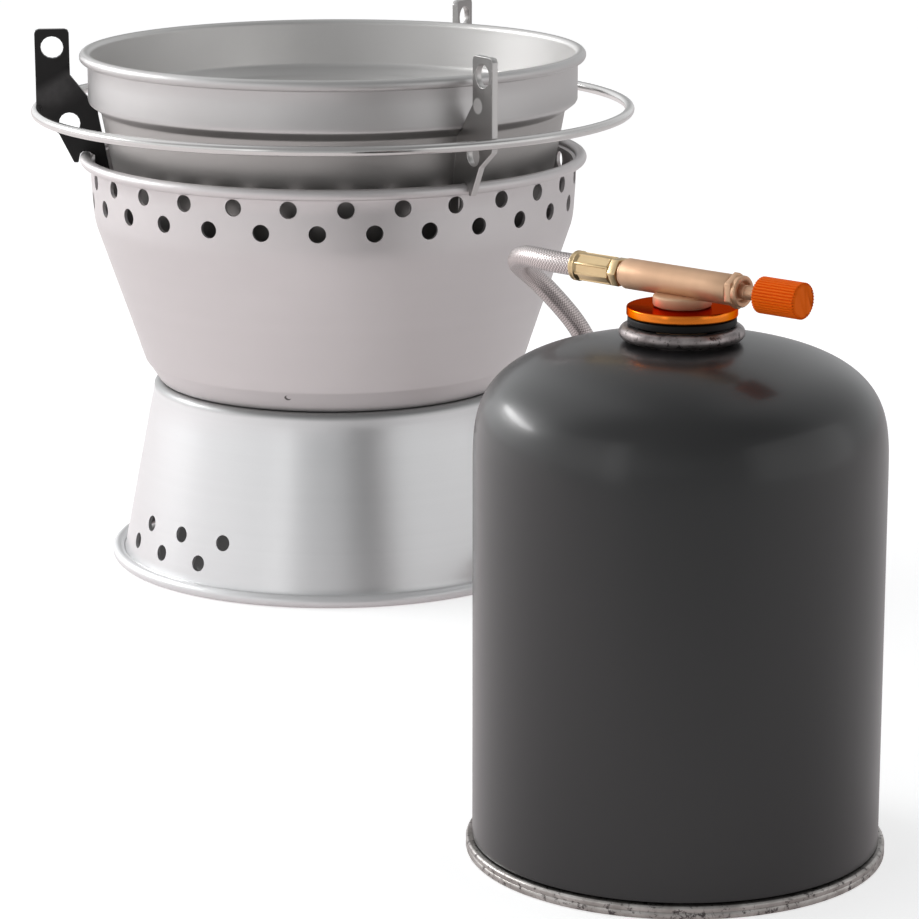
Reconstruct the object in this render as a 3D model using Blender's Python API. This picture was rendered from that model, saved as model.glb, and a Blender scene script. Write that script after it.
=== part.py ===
"""Storm cooker on a remote gas canister.

A perforated two-part aluminium windshield carries a wire ring with three pot
supports, and the pot hangs between them. The burner stands on a pressed bracket
inside the windshield. A braided hose joins it to the valve, which is screwed on
the canister beside the cooker. Metres, +Z up, standing on z = 0.
"""

import math

import bmesh
import bpy
import numpy as np
from mathutils import Matrix, Vector

MM = 0.001

# Clearance between pieces that touch, and the sheet they are pressed from
GAP = 0.3 * MM
SHEET = 1.2 * MM
SMALLEST = 1e-7

# Lengths of the cutters that go through one wall, and through a nut or a bracket
WALL_CUTTER = 9.6 * MM
BORE_CUTTER = 30.0 * MM

# Lower windshield
LOWER_HEIGHT = 63.6 * MM
LOWER_FOOT_WALL_R = 75.8 * MM
LOWER_TOP_WALL_R = 63.4 * MM
LOWER_RIM_TUBE = 2.0 * MM
LIP_ROUND = 2.6 * MM
SEAT_R = 56.3 * MM
SEAT_DEPTH = 5.4 * MM
LEDGE_WIDTH = 6.3 * MM

# Air holes low on the left of the lower windshield, in two staggered rows
BASE_HOLE_R = 2.7 * MM
BASE_HOLE_COUNT = 6
BASE_HOLE_FIRST = -68.0
BASE_HOLE_PITCH = 7.5
BASE_HOLE_LOW_Z = 10.2 * MM
BASE_HOLE_RISE = 8.2 * MM

# Opening that lets the hose in, on the side that faces the canister
HOSE_OPENING_AZIMUTH = 50.0
HOSE_OPENING_WIDTH = 22.0 * MM
HOSE_OPENING_SHIFT = 2.0 * MM
HOSE_OPENING_SILL = 6.4 * MM
HOSE_OPENING_TOP = 29.0 * MM

# Upper windshield; its bead stands a little outside the pot's band
UPPER_HEIGHT = 79.5 * MM
UPPER_BEAD_BEYOND_POT = 1.4 * MM
UPPER_BEAD_TUBE = 1.9 * MM
UPPER_BEAD_OVERHANG = 1.7 * MM
UPPER_BAND_HEIGHT = 21.0 * MM
UPPER_BAND_TAPER = 1.1 * MM
UPPER_CONE_DRAW = 15.0 * MM
UPPER_CORNER_RISE = 12.1 * MM
UPPER_CORNER_IN = 6.4 * MM
UPPER_HOLE_R = 2.9 * MM
UPPER_HOLES_PER_ROW = 28
UPPER_HOLE_PHASE = 4.6
UPPER_HOLE_DROP = 5.3 * MM
UPPER_ROW_STEP = 8.0 * MM

# Pot
POT_BAND_R = 84.6 * MM
POT_RIM_TUBE = 1.9 * MM
POT_BAND_HEIGHT = 15.4 * MM
POT_STEP_IN = 4.2 * MM
POT_STEP_DROP = 3.2 * MM
POT_CONE_HEIGHT = 46.4 * MM
POT_CONE_TAPER = 0.187
POT_CORNER_R = 6.0 * MM
POT_ABOVE_BEAD = 20.1 * MM

# Wire ring
RING_BEYOND_BEAD = 16.6 * MM
RING_WIRE_R = 1.7 * MM
RING_ABOVE_BEAD = 16.9 * MM

# Pot supports, cut from plate
SUPPORT_PLATE = 2.2 * MM
SUPPORT_AZIMUTHS = {"support_left": -87.5, "support_right": 32.5, "support_back": 152.5}
ARM_ABOVE_RING = 27.7 * MM
ARM_WIDTH = 11.8 * MM
ARM_OUTSIDE_RING = 0.0 * MM
ARM_STRAIGHT = 16.1 * MM
ARM_CORNER = 1.5 * MM
PRONG_DEPTH = 4.0 * MM
PRONG_TIP = 1.8 * MM
PRONG_FLARE = 5.0 * MM
PRONG_HEIGHT = 10.0 * MM
SEAT_TOE = 2.0 * MM
SEAT_HEEL = 1.0 * MM
LEG_DEPTH = 17.0 * MM
LEG_CLEARANCE = 1.4 * MM
SUPPORT_TOP_HOLE_R = 3.9 * MM
SUPPORT_TOP_HOLE_DROP = 6.3 * MM
SUPPORT_LOW_HOLE_R = 3.7 * MM
SUPPORT_LOW_HOLE_IN = 11.3 * MM
SUPPORT_LOW_HOLE_DROP = 5.0 * MM

# Burner
BRACKET_PLATE = 1.5 * MM
BRACKET_ARM_WIDTH = 12.0 * MM
BRACKET_HUB_R = 17.0 * MM
BRACKET_ARMS = 3
BRACKET_FIRST_ARM = 110.0
TUBE_R = 7.5 * MM
TUBE_WALL = 2.0 * MM
TUBE_ABOVE_BRACKET = 8.0 * MM
TUBE_FLANGE_R = 12.0 * MM
TUBE_FLANGE = 2.0 * MM
TUBE_AIR_HOLE_R = 2.2 * MM
TUBE_AIR_HOLES = 4
TUBE_AIR_ABOVE_ELBOW = 8.0 * MM
BURNER_NUT_HEIGHT = 4.5 * MM
BURNER_NUT_R = 12.0 * MM
CUP_R = 24.4 * MM
CUP_HUB_R = 10.0 * MM
CUP_HUB_HEIGHT = 6.5 * MM
CUP_HEIGHT = 20.0 * MM
CAP_THICKNESS = 1.6 * MM
CAP_SKIRT = 3.0 * MM
CAP_PORT_R = 1.2 * MM
CAP_PORT_CIRCLE = 17.0 * MM
CAP_PORTS = 12
JET_R = 2.6 * MM
JET_HEIGHT = 6.0 * MM
JET_BORE_R = 0.6 * MM
ELBOW_R = 7.0 * MM
ELBOW_HEIGHT = 18.0 * MM
ELBOW_REACH = 14.0 * MM
ELBOW_STUB_R = 4.6 * MM
ELBOW_HOSE_Z = 17.0 * MM
ELBOW_BELOW_HOSE = 7.0 * MM

# Hose and its end fittings
HOSE_R = 3.0 * MM
FERRULE_LENGTH = 13.6 * MM
FERRULE_R = 3.7 * MM
FERRULE_COLLAR_R = 4.1 * MM
FERRULE_COLLAR = 2.4 * MM
HOSE_NUT_R = 4.1 * MM
HOSE_NUT_LENGTH = 2.6 * MM

# Canister
CANISTER_RIGHT = 102.14 * MM
CANISTER_FRONT = 311.39 * MM
CANISTER_R = 55.0 * MM
CANISTER_WALL = 0.8 * MM
CANISTER_SHOULDER_Z = 104.0 * MM
CANISTER_DOME_HEIGHT = 36.5 * MM
CANISTER_DOME_POWER = 2.6
CANISTER_DOME_ROOT = 3.7
CANISTER_MOUTH_R = 13.2 * MM
SEAM_BEYOND_WALL = 1.8 * MM
SEAM_HEIGHT = 4.3 * MM
SEAM_WIDTH = 3.4 * MM
SEAM_ROUND = 0.6 * MM
BASE_DISH = 9.0 * MM
COLLAR_BEAD_R = 14.75 * MM
COLLAR_BEAD_TUBE = 1.9 * MM
COLLAR_CUP_R = 12.4 * MM
COLLAR_CUP_DEPTH = 7.5 * MM
NECK_THREAD_R = 5.4 * MM
NECK_BORE_R = 3.6 * MM
NECK_ABOVE_BEAD = 1.1 * MM
CORE_BORE_R = 1.6 * MM
CORE_PIN_R = 1.2 * MM
CORE_PIN_BELOW_NECK = 4.6 * MM

# Valve on the canister
VALVE_TURN = 42.0
GASKET_R = 14.4 * MM
GASKET_THICKNESS = 2.0 * MM
DISC_R = 14.7 * MM
DISC_THICKNESS = 2.4 * MM
STEM_R = 6.7 * MM
BOSS_R = 7.8 * MM
BOSS_HEIGHT = 2.8 * MM
SOCKET_CLEARANCE = 0.3 * MM
SOCKET_ABOVE_NECK = 1.6 * MM
SEAL_THICKNESS = 1.0 * MM
SEAL_BORE_R = 2.6 * MM
BARREL_R = 4.1 * MM
BARREL_ABOVE_BOSS = 3.2 * MM
BARREL_LEFT = 19.7 * MM
BARREL_RIGHT = 16.6 * MM
BARREL_BORE_R = 2.6 * MM
GAS_BORE_R = 1.5 * MM
OPENER_R = 0.8 * MM
PACKING_NUT_R = 4.9 * MM
PACKING_NUT_LENGTH = 2.0 * MM
PACKING_COLLAR_R = 4.2 * MM
PACKING_COLLAR = 1.4 * MM
SPINDLE_R = 1.9 * MM
SPINDLE_INSIDE = 12.6 * MM
SPINDLE_OUTSIDE = 5.4 * MM
SPINDLE_IN_KNOB = 6.0 * MM
KNOB_R = 4.8 * MM
KNOB_LENGTH = 13.8 * MM
KNOB_GROOVES = 24
KNOB_GROOVE_DEPTH = 0.35 * MM
KNOB_CHAMFER = 0.6 * MM

# Fineness of the turned pieces
SHELL_SEGMENTS = 40
CANISTER_SEGMENTS = 32
SMALL_SEGMENTS = 20
WIRE_SIDES = 8

# Radii and heights that follow from the sizes above
UPPER_BEAD_R = POT_BAND_R + UPPER_BEAD_BEYOND_POT
RING_R = UPPER_BEAD_R + RING_BEYOND_BEAD
SEAM_R = CANISTER_R + SEAM_BEYOND_WALL
LEDGE_TOP = LOWER_HEIGHT - SEAT_DEPTH
LEDGE_R = SEAT_R - LEDGE_WIDTH
UPPER_FLOOR_Z = LOWER_HEIGHT + GAP
BEAD_Z = UPPER_FLOOR_Z + UPPER_HEIGHT - UPPER_BEAD_TUBE
UPPER_BAND_R = UPPER_BEAD_R - UPPER_BEAD_OVERHANG
UPPER_BAND_FOOT_Z = BEAD_Z - UPPER_BAND_HEIGHT
UPPER_BAND_FOOT_R = UPPER_BAND_R - UPPER_BAND_TAPER
UPPER_CONE_FOOT_R = UPPER_BAND_FOOT_R - UPPER_CONE_DRAW
UPPER_CONE_FOOT_Z = UPPER_FLOOR_Z + UPPER_CORNER_RISE
UPPER_FLOOR_R = UPPER_CONE_FOOT_R - UPPER_CORNER_IN
UPPER_NECK_R = SEAT_R - GAP
BRACKET_FOOT = LEDGE_TOP + GAP
BRACKET_TOP = BRACKET_FOOT + BRACKET_PLATE
RING_Z = BEAD_Z + RING_ABOVE_BEAD
POT_STEP_Z = BEAD_Z + POT_ABOVE_BEAD
POT_RIM_Z = POT_STEP_Z + POT_BAND_HEIGHT
POT_CONE_R = POT_BAND_R - POT_STEP_IN
POT_CONE_Z = POT_STEP_Z - POT_STEP_DROP
POT_FLOOR_Z = POT_CONE_Z - POT_CONE_HEIGHT
ELBOW_TOP = ELBOW_HOSE_Z - ELBOW_BELOW_HOSE + ELBOW_HEIGHT
CANISTER_TOP = CANISTER_SHOULDER_Z + CANISTER_DOME_HEIGHT
COLLAR_Z = CANISTER_TOP + GAP + COLLAR_BEAD_TUBE
COLLAR_TOP = COLLAR_Z + COLLAR_BEAD_TUBE
CUP_FLOOR_Z = COLLAR_Z - COLLAR_CUP_DEPTH
NECK_TOP = COLLAR_TOP + NECK_ABOVE_BEAD
GASKET_Z = COLLAR_TOP + GAP
DISC_Z = GASKET_Z + GASKET_THICKNESS + GAP
BOSS_Z = DISC_Z + DISC_THICKNESS + GAP
BARREL_Z = BOSS_Z + BOSS_HEIGHT + BARREL_ABOVE_BOSS
SOCKET_TOP = NECK_TOP + SOCKET_ABOVE_NECK
FERRULE_START = BARREL_LEFT + GAP + HOSE_NUT_LENGTH + GAP
FERRULE_END = FERRULE_START + FERRULE_LENGTH
BURNER_NUT_START = ELBOW_REACH + GAP
BURNER_FERRULE_START = BURNER_NUT_START + HOSE_NUT_LENGTH + GAP
BURNER_FERRULE_END = BURNER_FERRULE_START + FERRULE_LENGTH
PACKING_END = BARREL_RIGHT + GAP + PACKING_NUT_LENGTH + PACKING_COLLAR
KNOB_START = PACKING_END + SPINDLE_OUTSIDE

# The box of the whole object is centred on the origin
RING_REACH = RING_R + RING_WIRE_R
COOKER_X = (RING_REACH - CANISTER_RIGHT - SEAM_R) / 2
COOKER_Y = (CANISTER_FRONT + SEAM_R - RING_REACH) / 2
CANISTER_X = COOKER_X + CANISTER_RIGHT
CANISTER_Y = COOKER_Y - CANISTER_FRONT

# Route of the hose, chosen by hand, from the cooker's axis: right, back, up
HOSE_ROUTE = [
    (61.4 * MM, -268.1 * MM, 154.8 * MM),
    (60.4 * MM, -255.3 * MM, 150.3 * MM),
    (64.5 * MM, -246.0 * MM, 145.0 * MM),
    (71.2 * MM, -238.8 * MM, 136.9 * MM),
    (78.6 * MM, -231.1 * MM, 125.9 * MM),
    (85.2 * MM, -226.6 * MM, 110.0 * MM),
    (90.8 * MM, -222.4 * MM, 90.0 * MM),
    (94.8 * MM, -217.8 * MM, 65.0 * MM),
    (96.9 * MM, -211.5 * MM, 39.0 * MM),
    (97.4 * MM, -199.0 * MM, 17.0 * MM),
    (96.6 * MM, -178.0 * MM, 5.6 * MM),
    (95.4 * MM, -150.0 * MM, 3.3 * MM),
    (94.6 * MM, -122.0 * MM, 3.3 * MM),
    (91.2 * MM, -96.0 * MM, 3.5 * MM),
    (82.0 * MM, -74.0 * MM, 5.2 * MM),
    (69.4 * MM, -59.4 * MM, 9.0 * MM),
    (55.4 * MM, -46.8 * MM, 13.4 * MM),
    (40.0 * MM, -33.7 * MM, 16.6 * MM),
]
HOSE_STEP = 11.5 * MM


def arc(centre_r, centre_z, radius, start, end, count):
    """Points of an arc in the (radius, height) plane; angles in degrees from outwards."""
    angles = np.radians(np.linspace(start, end, count))
    return [(centre_r + radius * math.cos(a), centre_z + radius * math.sin(a)) for a in angles]


def material(name, colour, roughness, metallic):
    made = bpy.data.materials.new(name)
    made.use_nodes = True
    shader = made.node_tree.nodes["Principled BSDF"]
    shader.inputs["Base Color"].default_value = (*colour, 1.0)
    shader.inputs["Roughness"].default_value = roughness
    shader.inputs["Metallic"].default_value = metallic
    made.diffuse_color = (*colour, 1.0)
    return made


def empty(name, place, parent=None):
    made = bpy.data.objects.new(name, None)
    bpy.context.scene.collection.objects.link(made)
    made.location = place
    made.parent = parent
    return made


def add(name, bm, parent, finish=None):
    """Turns a bmesh into an object, smooth between its sharp edges. No finish makes it a cutter."""
    mesh = bpy.data.meshes.new(name)
    bm.to_mesh(mesh)
    bm.free()
    made = bpy.data.objects.new(name, mesh)
    bpy.context.scene.collection.objects.link(made)
    made.parent = parent
    if finish is None:
        made.hide_render = True
        made.display_type = "WIRE"
        return made
    mesh.materials.append(finish)
    mesh.shade_smooth()
    mesh.set_sharp_from_angle(angle=math.radians(35))
    return made


def lathe(name, outline, parent, finish=None, segments=SMALL_SEGMENTS):
    """Turns an outline of (radius, height) points about local Z.

    An outline that starts and ends on the axis makes a solid with no bore.
    """
    bm = bmesh.new()
    points = [bm.verts.new((r, 0.0, z)) for r, z in outline]
    edges = [bm.edges.new(pair) for pair in zip(points, points[1:])]
    if outline[0][0] > SMALLEST:
        edges.append(bm.edges.new((points[-1], points[0])))
    bmesh.ops.spin(
        bm,
        geom=points + edges,
        cent=(0, 0, 0),
        axis=(0, 0, 1),
        angle=2 * math.pi,
        steps=segments,
        use_merge=True,
    )
    bmesh.ops.remove_doubles(bm, verts=bm.verts, dist=SMALLEST)
    bmesh.ops.recalc_face_normals(bm, faces=bm.faces)
    return add(name, bm, parent, finish)


def tube_outline(inner, outer, low, high):
    return [(outer, high), (outer, low), (inner, low), (inner, high)]


def rod_outline(radius, low, high):
    return [(0.0, high), (radius, high), (radius, low), (0.0, low)]


def plate(name, outline, thickness, parent, finish=None):
    """Extrudes a flat outline of (x, z) points to a plate centred on local y = 0."""
    bm = bmesh.new()
    face = bm.faces.new([bm.verts.new((x, -thickness / 2, z)) for x, z in outline])
    moved = bmesh.ops.extrude_face_region(bm, geom=[face])["geom"]
    corners = [item for item in moved if isinstance(item, bmesh.types.BMVert)]
    bmesh.ops.translate(bm, verts=corners, vec=(0, thickness, 0))
    bmesh.ops.recalc_face_normals(bm, faces=bm.faces)
    return add(name, bm, parent, finish)


def prism_outline(sides, radius, turn=0.0):
    """Corners of a regular polygon round the origin."""
    angles = [2 * math.pi * (i + turn) / sides for i in range(sides)]
    return [(radius * math.cos(a), radius * math.sin(a)) for a in angles]


def prism(name, corners, low, high, parent, finish=None):
    """Extrudes an outline of (x, y) points along local Z."""
    bm = bmesh.new()
    face = bm.faces.new([bm.verts.new((x, y, low)) for x, y in corners])
    moved = bmesh.ops.extrude_face_region(bm, geom=[face])["geom"]
    top = [item for item in moved if isinstance(item, bmesh.types.BMVert)]
    bmesh.ops.translate(bm, verts=top, vec=(0, 0, high - low))
    bmesh.ops.recalc_face_normals(bm, faces=bm.faces)
    return add(name, bm, parent, finish)


def rods(name, placed, parent, sides=10):
    """One cutter made of separate rods; each is (matrix, radius, length), centred along local Z."""
    bm = bmesh.new()
    for matrix, radius, length in placed:
        bmesh.ops.create_cone(
            bm,
            cap_ends=True,
            segments=sides,
            radius1=radius,
            radius2=radius,
            depth=length,
            matrix=matrix,
        )
    bmesh.ops.recalc_face_normals(bm, faces=bm.faces)
    return add(name, bm, parent)


def radial(azimuth, distance, height):
    """A matrix whose Z points outwards at an azimuth: 0 is the front, positive to the right."""
    turn = math.radians(azimuth - 90)
    spin = Matrix.Rotation(turn, 4, "Z")
    return spin @ Matrix.Translation((distance, 0, height)) @ Matrix.Rotation(math.pi / 2, 4, "Y")


def cut(target, cutter, operation="DIFFERENCE"):
    made = target.modifiers.new(cutter.name, "BOOLEAN")
    made.operation = operation
    made.object = cutter
    made.solver = "EXACT"


def wall_r(height):
    """Outer radius of the lower windshield's wall at a height."""
    share = height / LOWER_HEIGHT
    return LOWER_FOOT_WALL_R + share * (LOWER_TOP_WALL_R - LOWER_FOOT_WALL_R)


def band_r(height):
    """Outer radius of the upper windshield's band at a height."""
    share = (BEAD_Z - height) / UPPER_BAND_HEIGHT
    return UPPER_BAND_R - share * UPPER_BAND_TAPER


def pot_r(height):
    """Outer radius of the pot's cone at a height."""
    return POT_CONE_R - POT_CONE_TAPER * (POT_CONE_Z - height)


def lower_windshield(cooker, finish):
    """Cone with a rolled foot and a rounded lip; a sunk ledge inside the lip carries the burner."""
    rim_r = LOWER_FOOT_WALL_R + LOWER_RIM_TUBE
    rim = arc(rim_r, LOWER_RIM_TUBE, LOWER_RIM_TUBE, 90, -60, 6)
    foot_inside = (rim_r - LOWER_RIM_TUBE / 2, 0.0)
    rim[-1] = (rim_r + LOWER_RIM_TUBE / 2, 0.0)
    wall_foot_z = 2 * LOWER_RIM_TUBE
    lip_z = LOWER_HEIGHT - LIP_ROUND
    lip_r = wall_r(lip_z) - LIP_ROUND
    lip = arc(lip_r, lip_z, LIP_ROUND, 90, 0, 4)
    inner_lip = arc(lip_r, lip_z, LIP_ROUND - SHEET, 0, 90, 3)
    outline = [(SEAT_R, LOWER_HEIGHT)]
    outline += lip
    outline += [(wall_r(wall_foot_z), wall_foot_z)]
    outline += rim
    outline += [foot_inside]
    outline += [(wall_r(LOWER_RIM_TUBE) - SHEET, LOWER_RIM_TUBE)]
    outline += inner_lip
    outline += [
        (SEAT_R + SHEET, LOWER_HEIGHT - SHEET),
        (SEAT_R + SHEET, LEDGE_TOP - SHEET),
        (LEDGE_R, LEDGE_TOP - SHEET),
        (LEDGE_R, LEDGE_TOP),
        (SEAT_R, LEDGE_TOP),
    ]
    made = lathe("lower_windshield", outline, cooker, finish, SHELL_SEGMENTS)
    holes = []
    for i in range(BASE_HOLE_COUNT):
        height = BASE_HOLE_LOW_Z + (i % 2) * BASE_HOLE_RISE
        place = radial(BASE_HOLE_FIRST + i * BASE_HOLE_PITCH, wall_r(height), height)
        holes.append((place, BASE_HOLE_R, WALL_CUTTER))
    cut(made, rods("base_hole_cutter", holes, cooker))
    corner = HOSE_OPENING_WIDTH / 4
    left = HOSE_OPENING_SHIFT - HOSE_OPENING_WIDTH / 2
    right = HOSE_OPENING_SHIFT + HOSE_OPENING_WIDTH / 2
    opening = [(right, HOSE_OPENING_SILL), (right, HOSE_OPENING_TOP - corner)]
    opening += [(right - corner, HOSE_OPENING_TOP), (left + corner, HOSE_OPENING_TOP)]
    opening += [(left, HOSE_OPENING_TOP - corner), (left, HOSE_OPENING_SILL)]
    opening_cutter = plate("hose_opening_cutter", opening, BORE_CUTTER, cooker)
    turn = math.radians(HOSE_OPENING_AZIMUTH)
    middle = wall_r((HOSE_OPENING_SILL + HOSE_OPENING_TOP) / 2)
    opening_cutter.location = (middle * math.sin(turn), -middle * math.cos(turn), 0)
    opening_cutter.rotation_euler = (0, 0, turn)
    cut(made, opening_cutter)
    return made


def upper_windshield(cooker, finish):
    """Flared shell with a beaded rim, two rows of holes and a neck that drops into the lower one."""
    neck_foot = BRACKET_TOP + GAP
    bead = arc(UPPER_BEAD_R, BEAD_Z, UPPER_BEAD_TUBE, 180, -130, 7)
    corner = [
        (UPPER_CONE_FOOT_R, UPPER_CONE_FOOT_Z),
        (UPPER_CONE_FOOT_R - 0.2 * UPPER_CORNER_IN, UPPER_FLOOR_Z + 0.66 * UPPER_CORNER_RISE),
        (UPPER_CONE_FOOT_R - 0.53 * UPPER_CORNER_IN, UPPER_FLOOR_Z + 0.32 * UPPER_CORNER_RISE),
        (UPPER_FLOOR_R, UPPER_FLOOR_Z),
    ]
    inside = [(r - SHEET, z + 0.3 * SHEET) for r, z in reversed(corner[:-1])]
    outline = bead
    outline += [(UPPER_BAND_FOOT_R, UPPER_BAND_FOOT_Z)]
    outline += corner
    outline += [
        (UPPER_NECK_R, UPPER_FLOOR_Z),
        (UPPER_NECK_R, neck_foot),
        (UPPER_NECK_R - SHEET, neck_foot),
        (UPPER_NECK_R - SHEET, UPPER_FLOOR_Z + SHEET),
        (UPPER_FLOOR_R - 0.4 * SHEET, UPPER_FLOOR_Z + SHEET),
    ]
    outline += inside
    outline += [(UPPER_BAND_FOOT_R - SHEET, UPPER_BAND_FOOT_Z)]
    outline += [(UPPER_BAND_R - SHEET, BEAD_Z - UPPER_BEAD_TUBE)]
    made = lathe("upper_windshield", outline, cooker, finish, SHELL_SEGMENTS)
    pitch = 360 / UPPER_HOLES_PER_ROW
    holes = []
    for i in range(2 * UPPER_HOLES_PER_ROW):
        height = BEAD_Z - UPPER_HOLE_DROP - (i % 2) * UPPER_ROW_STEP
        place = radial(UPPER_HOLE_PHASE + i * pitch / 2, band_r(height), height)
        holes.append((place, UPPER_HOLE_R, WALL_CUTTER))
    cut(made, rods("upper_hole_cutter", holes, cooker, 8))
    return made


def pot(cooker, finish):
    """Open pan: rolled rim, upright band, step that seats on the supports, tapered wall."""
    rim_r = POT_BAND_R + POT_RIM_TUBE / 2
    rim = arc(rim_r, POT_RIM_Z, POT_RIM_TUBE, 180, -120, 7)
    floor_corner_r = pot_r(POT_FLOOR_Z + POT_CORNER_R) - POT_CORNER_R
    corner = arc(floor_corner_r, POT_FLOOR_Z + POT_CORNER_R, POT_CORNER_R, -10, -90, 4)
    inner = arc(floor_corner_r, POT_FLOOR_Z + POT_CORNER_R, POT_CORNER_R - SHEET, -90, -10, 4)
    outline = rim
    outline += [(POT_BAND_R, POT_STEP_Z), (POT_CONE_R, POT_CONE_Z)]
    outline += corner
    outline += [(0.0, POT_FLOOR_Z), (0.0, POT_FLOOR_Z + SHEET)]
    outline += inner
    outline += [(POT_CONE_R - SHEET, POT_CONE_Z + 0.5 * SHEET)]
    outline += [(POT_BAND_R - SHEET, POT_STEP_Z + 0.5 * SHEET)]
    outline += [(POT_BAND_R - SHEET, POT_RIM_Z - POT_RIM_TUBE)]
    start = next(i for i, point in enumerate(outline) if point[0] == 0.0) + 1
    return lathe("pot", outline[start:] + outline[:start], cooker, finish, SHELL_SEGMENTS)


def support_outline():
    """A support in its own plane: arm, slot for the ring, prong and leg round the rim, pot seat."""
    arm_out = RING_R + ARM_OUTSIDE_RING
    arm_in = arm_out - ARM_WIDTH
    arm_top = RING_Z + ARM_ABOVE_RING
    slot_r = RING_WIRE_R + GAP
    bead_clear = UPPER_BEAD_TUBE + GAP
    notch_out = UPPER_BEAD_R + bead_clear
    prong_foot = BEAD_Z + UPPER_BEAD_TUBE + GAP - PRONG_DEPTH
    leg_foot = BEAD_Z + UPPER_BEAD_TUBE - LEG_DEPTH
    leg_top_out = UPPER_BAND_R - SHEET - GAP
    leg_foot_out = band_r(leg_foot) - SHEET - 2 * GAP
    seat_shift_r = GAP * POT_STEP_DROP / math.hypot(POT_STEP_IN, POT_STEP_DROP)
    seat_shift_z = GAP * POT_STEP_IN / math.hypot(POT_STEP_IN, POT_STEP_DROP)
    seat_low = 0.25
    outline = arc(arm_in + ARM_CORNER, arm_top - ARM_CORNER, ARM_CORNER, 180, 90, 3)
    outline += arc(arm_out - ARM_CORNER, arm_top - ARM_CORNER, ARM_CORNER, 90, 0, 3)
    outline += [(arm_out, RING_Z + slot_r)]
    outline += arc(RING_R, RING_Z, slot_r, 90, 270, 7)
    outline += [(RING_R - 0.2 * slot_r, RING_Z - 1.6 * slot_r)]
    prong_start = notch_out + PRONG_TIP
    outline += [(prong_start + PRONG_FLARE, prong_foot + PRONG_HEIGHT)]
    outline += [(prong_start, prong_foot), (notch_out + 0.2 * PRONG_TIP, prong_foot)]
    outline += arc(UPPER_BEAD_R, BEAD_Z, bead_clear, 0, 120, 5)
    outline += [(leg_top_out, BEAD_Z + 0.4 * UPPER_BEAD_TUBE)]
    outline += [(leg_top_out, BEAD_Z - UPPER_BEAD_TUBE), (leg_foot_out, leg_foot + ARM_CORNER)]
    outline += [(leg_foot_out - ARM_CORNER, leg_foot)]
    outline += [(pot_r(leg_foot) + LEG_CLEARANCE, leg_foot)]
    shoulder = POT_CONE_Z - SEAT_TOE
    outline += [(pot_r(shoulder) + LEG_CLEARANCE, shoulder)]
    for share in (seat_low, 1.0):
        r = POT_CONE_R + share * POT_STEP_IN + seat_shift_r
        outline.append((r, POT_CONE_Z + share * POT_STEP_DROP - seat_shift_z))
    outline += [(POT_BAND_R + GAP, POT_STEP_Z + SEAT_HEEL)]
    outline += [(arm_in, arm_top - ARM_STRAIGHT)]
    return outline


def supports(cooker, black, steel):
    """Three alike supports. The left one has a black finish, the other two are bare steel."""
    arm_middle = RING_R + ARM_OUTSIDE_RING - ARM_WIDTH / 2
    top_hole = RING_Z + ARM_ABOVE_RING - SUPPORT_TOP_HOLE_DROP
    low_hole_r = RING_R - SUPPORT_LOW_HOLE_IN
    low_hole_z = RING_Z - SUPPORT_LOW_HOLE_DROP
    across = Matrix.Rotation(math.pi / 2, 4, "X")
    for name, azimuth in SUPPORT_AZIMUTHS.items():
        finish = black if name == "support_left" else steel
        made = plate(name, support_outline(), SUPPORT_PLATE, cooker, finish)
        holes = [
            (Matrix.Translation((arm_middle, 0, top_hole)) @ across, SUPPORT_TOP_HOLE_R, WALL_CUTTER),
            (Matrix.Translation((low_hole_r, 0, low_hole_z)) @ across, SUPPORT_LOW_HOLE_R, WALL_CUTTER),
        ]
        cutter = rods(name + "_cutter", holes, made, 16)
        made.rotation_euler = (0, 0, math.radians(azimuth - 90))
        cut(made, cutter)


def support_ring(cooker, finish):
    """Round wire bent to a ring, which the three supports hang on."""
    outline = arc(RING_R, RING_Z, RING_WIRE_R, 0, 360 - 360 / WIRE_SIDES, WIRE_SIDES)
    lathe("support_ring", outline, cooker, finish, SHELL_SEGMENTS)


def burner_bracket(cooker, finish):
    """Pressed plate: a hub and three arms whose tips lie on the lower windshield's ledge."""
    reach = SEAT_R - GAP
    half = math.asin(BRACKET_ARM_WIDTH / 2 / reach)
    root = math.asin(BRACKET_ARM_WIDTH / 2 / BRACKET_HUB_R)
    corners = []
    for i in range(BRACKET_ARMS):
        middle = math.radians(BRACKET_FIRST_ARM + i * 360 / BRACKET_ARMS - 90)
        arm = ((BRACKET_HUB_R, -root), (reach, -half), (reach, half), (BRACKET_HUB_R, root))
        for radius, turn in arm:
            angle = middle + turn
            corners.append((radius * math.cos(angle), radius * math.sin(angle)))
        between = middle + math.pi / BRACKET_ARMS
        corners.append((BRACKET_HUB_R * math.cos(between), BRACKET_HUB_R * math.sin(between)))
    made = prism("burner_bracket", corners, BRACKET_FOOT, BRACKET_TOP, cooker, finish)
    hole = Matrix.Translation((0, 0, BRACKET_FOOT))
    bore = [(hole, TUBE_R + GAP, WALL_CUTTER)]
    cut(made, rods("bracket_bore_cutter", bore, cooker, SMALL_SEGMENTS))


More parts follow.
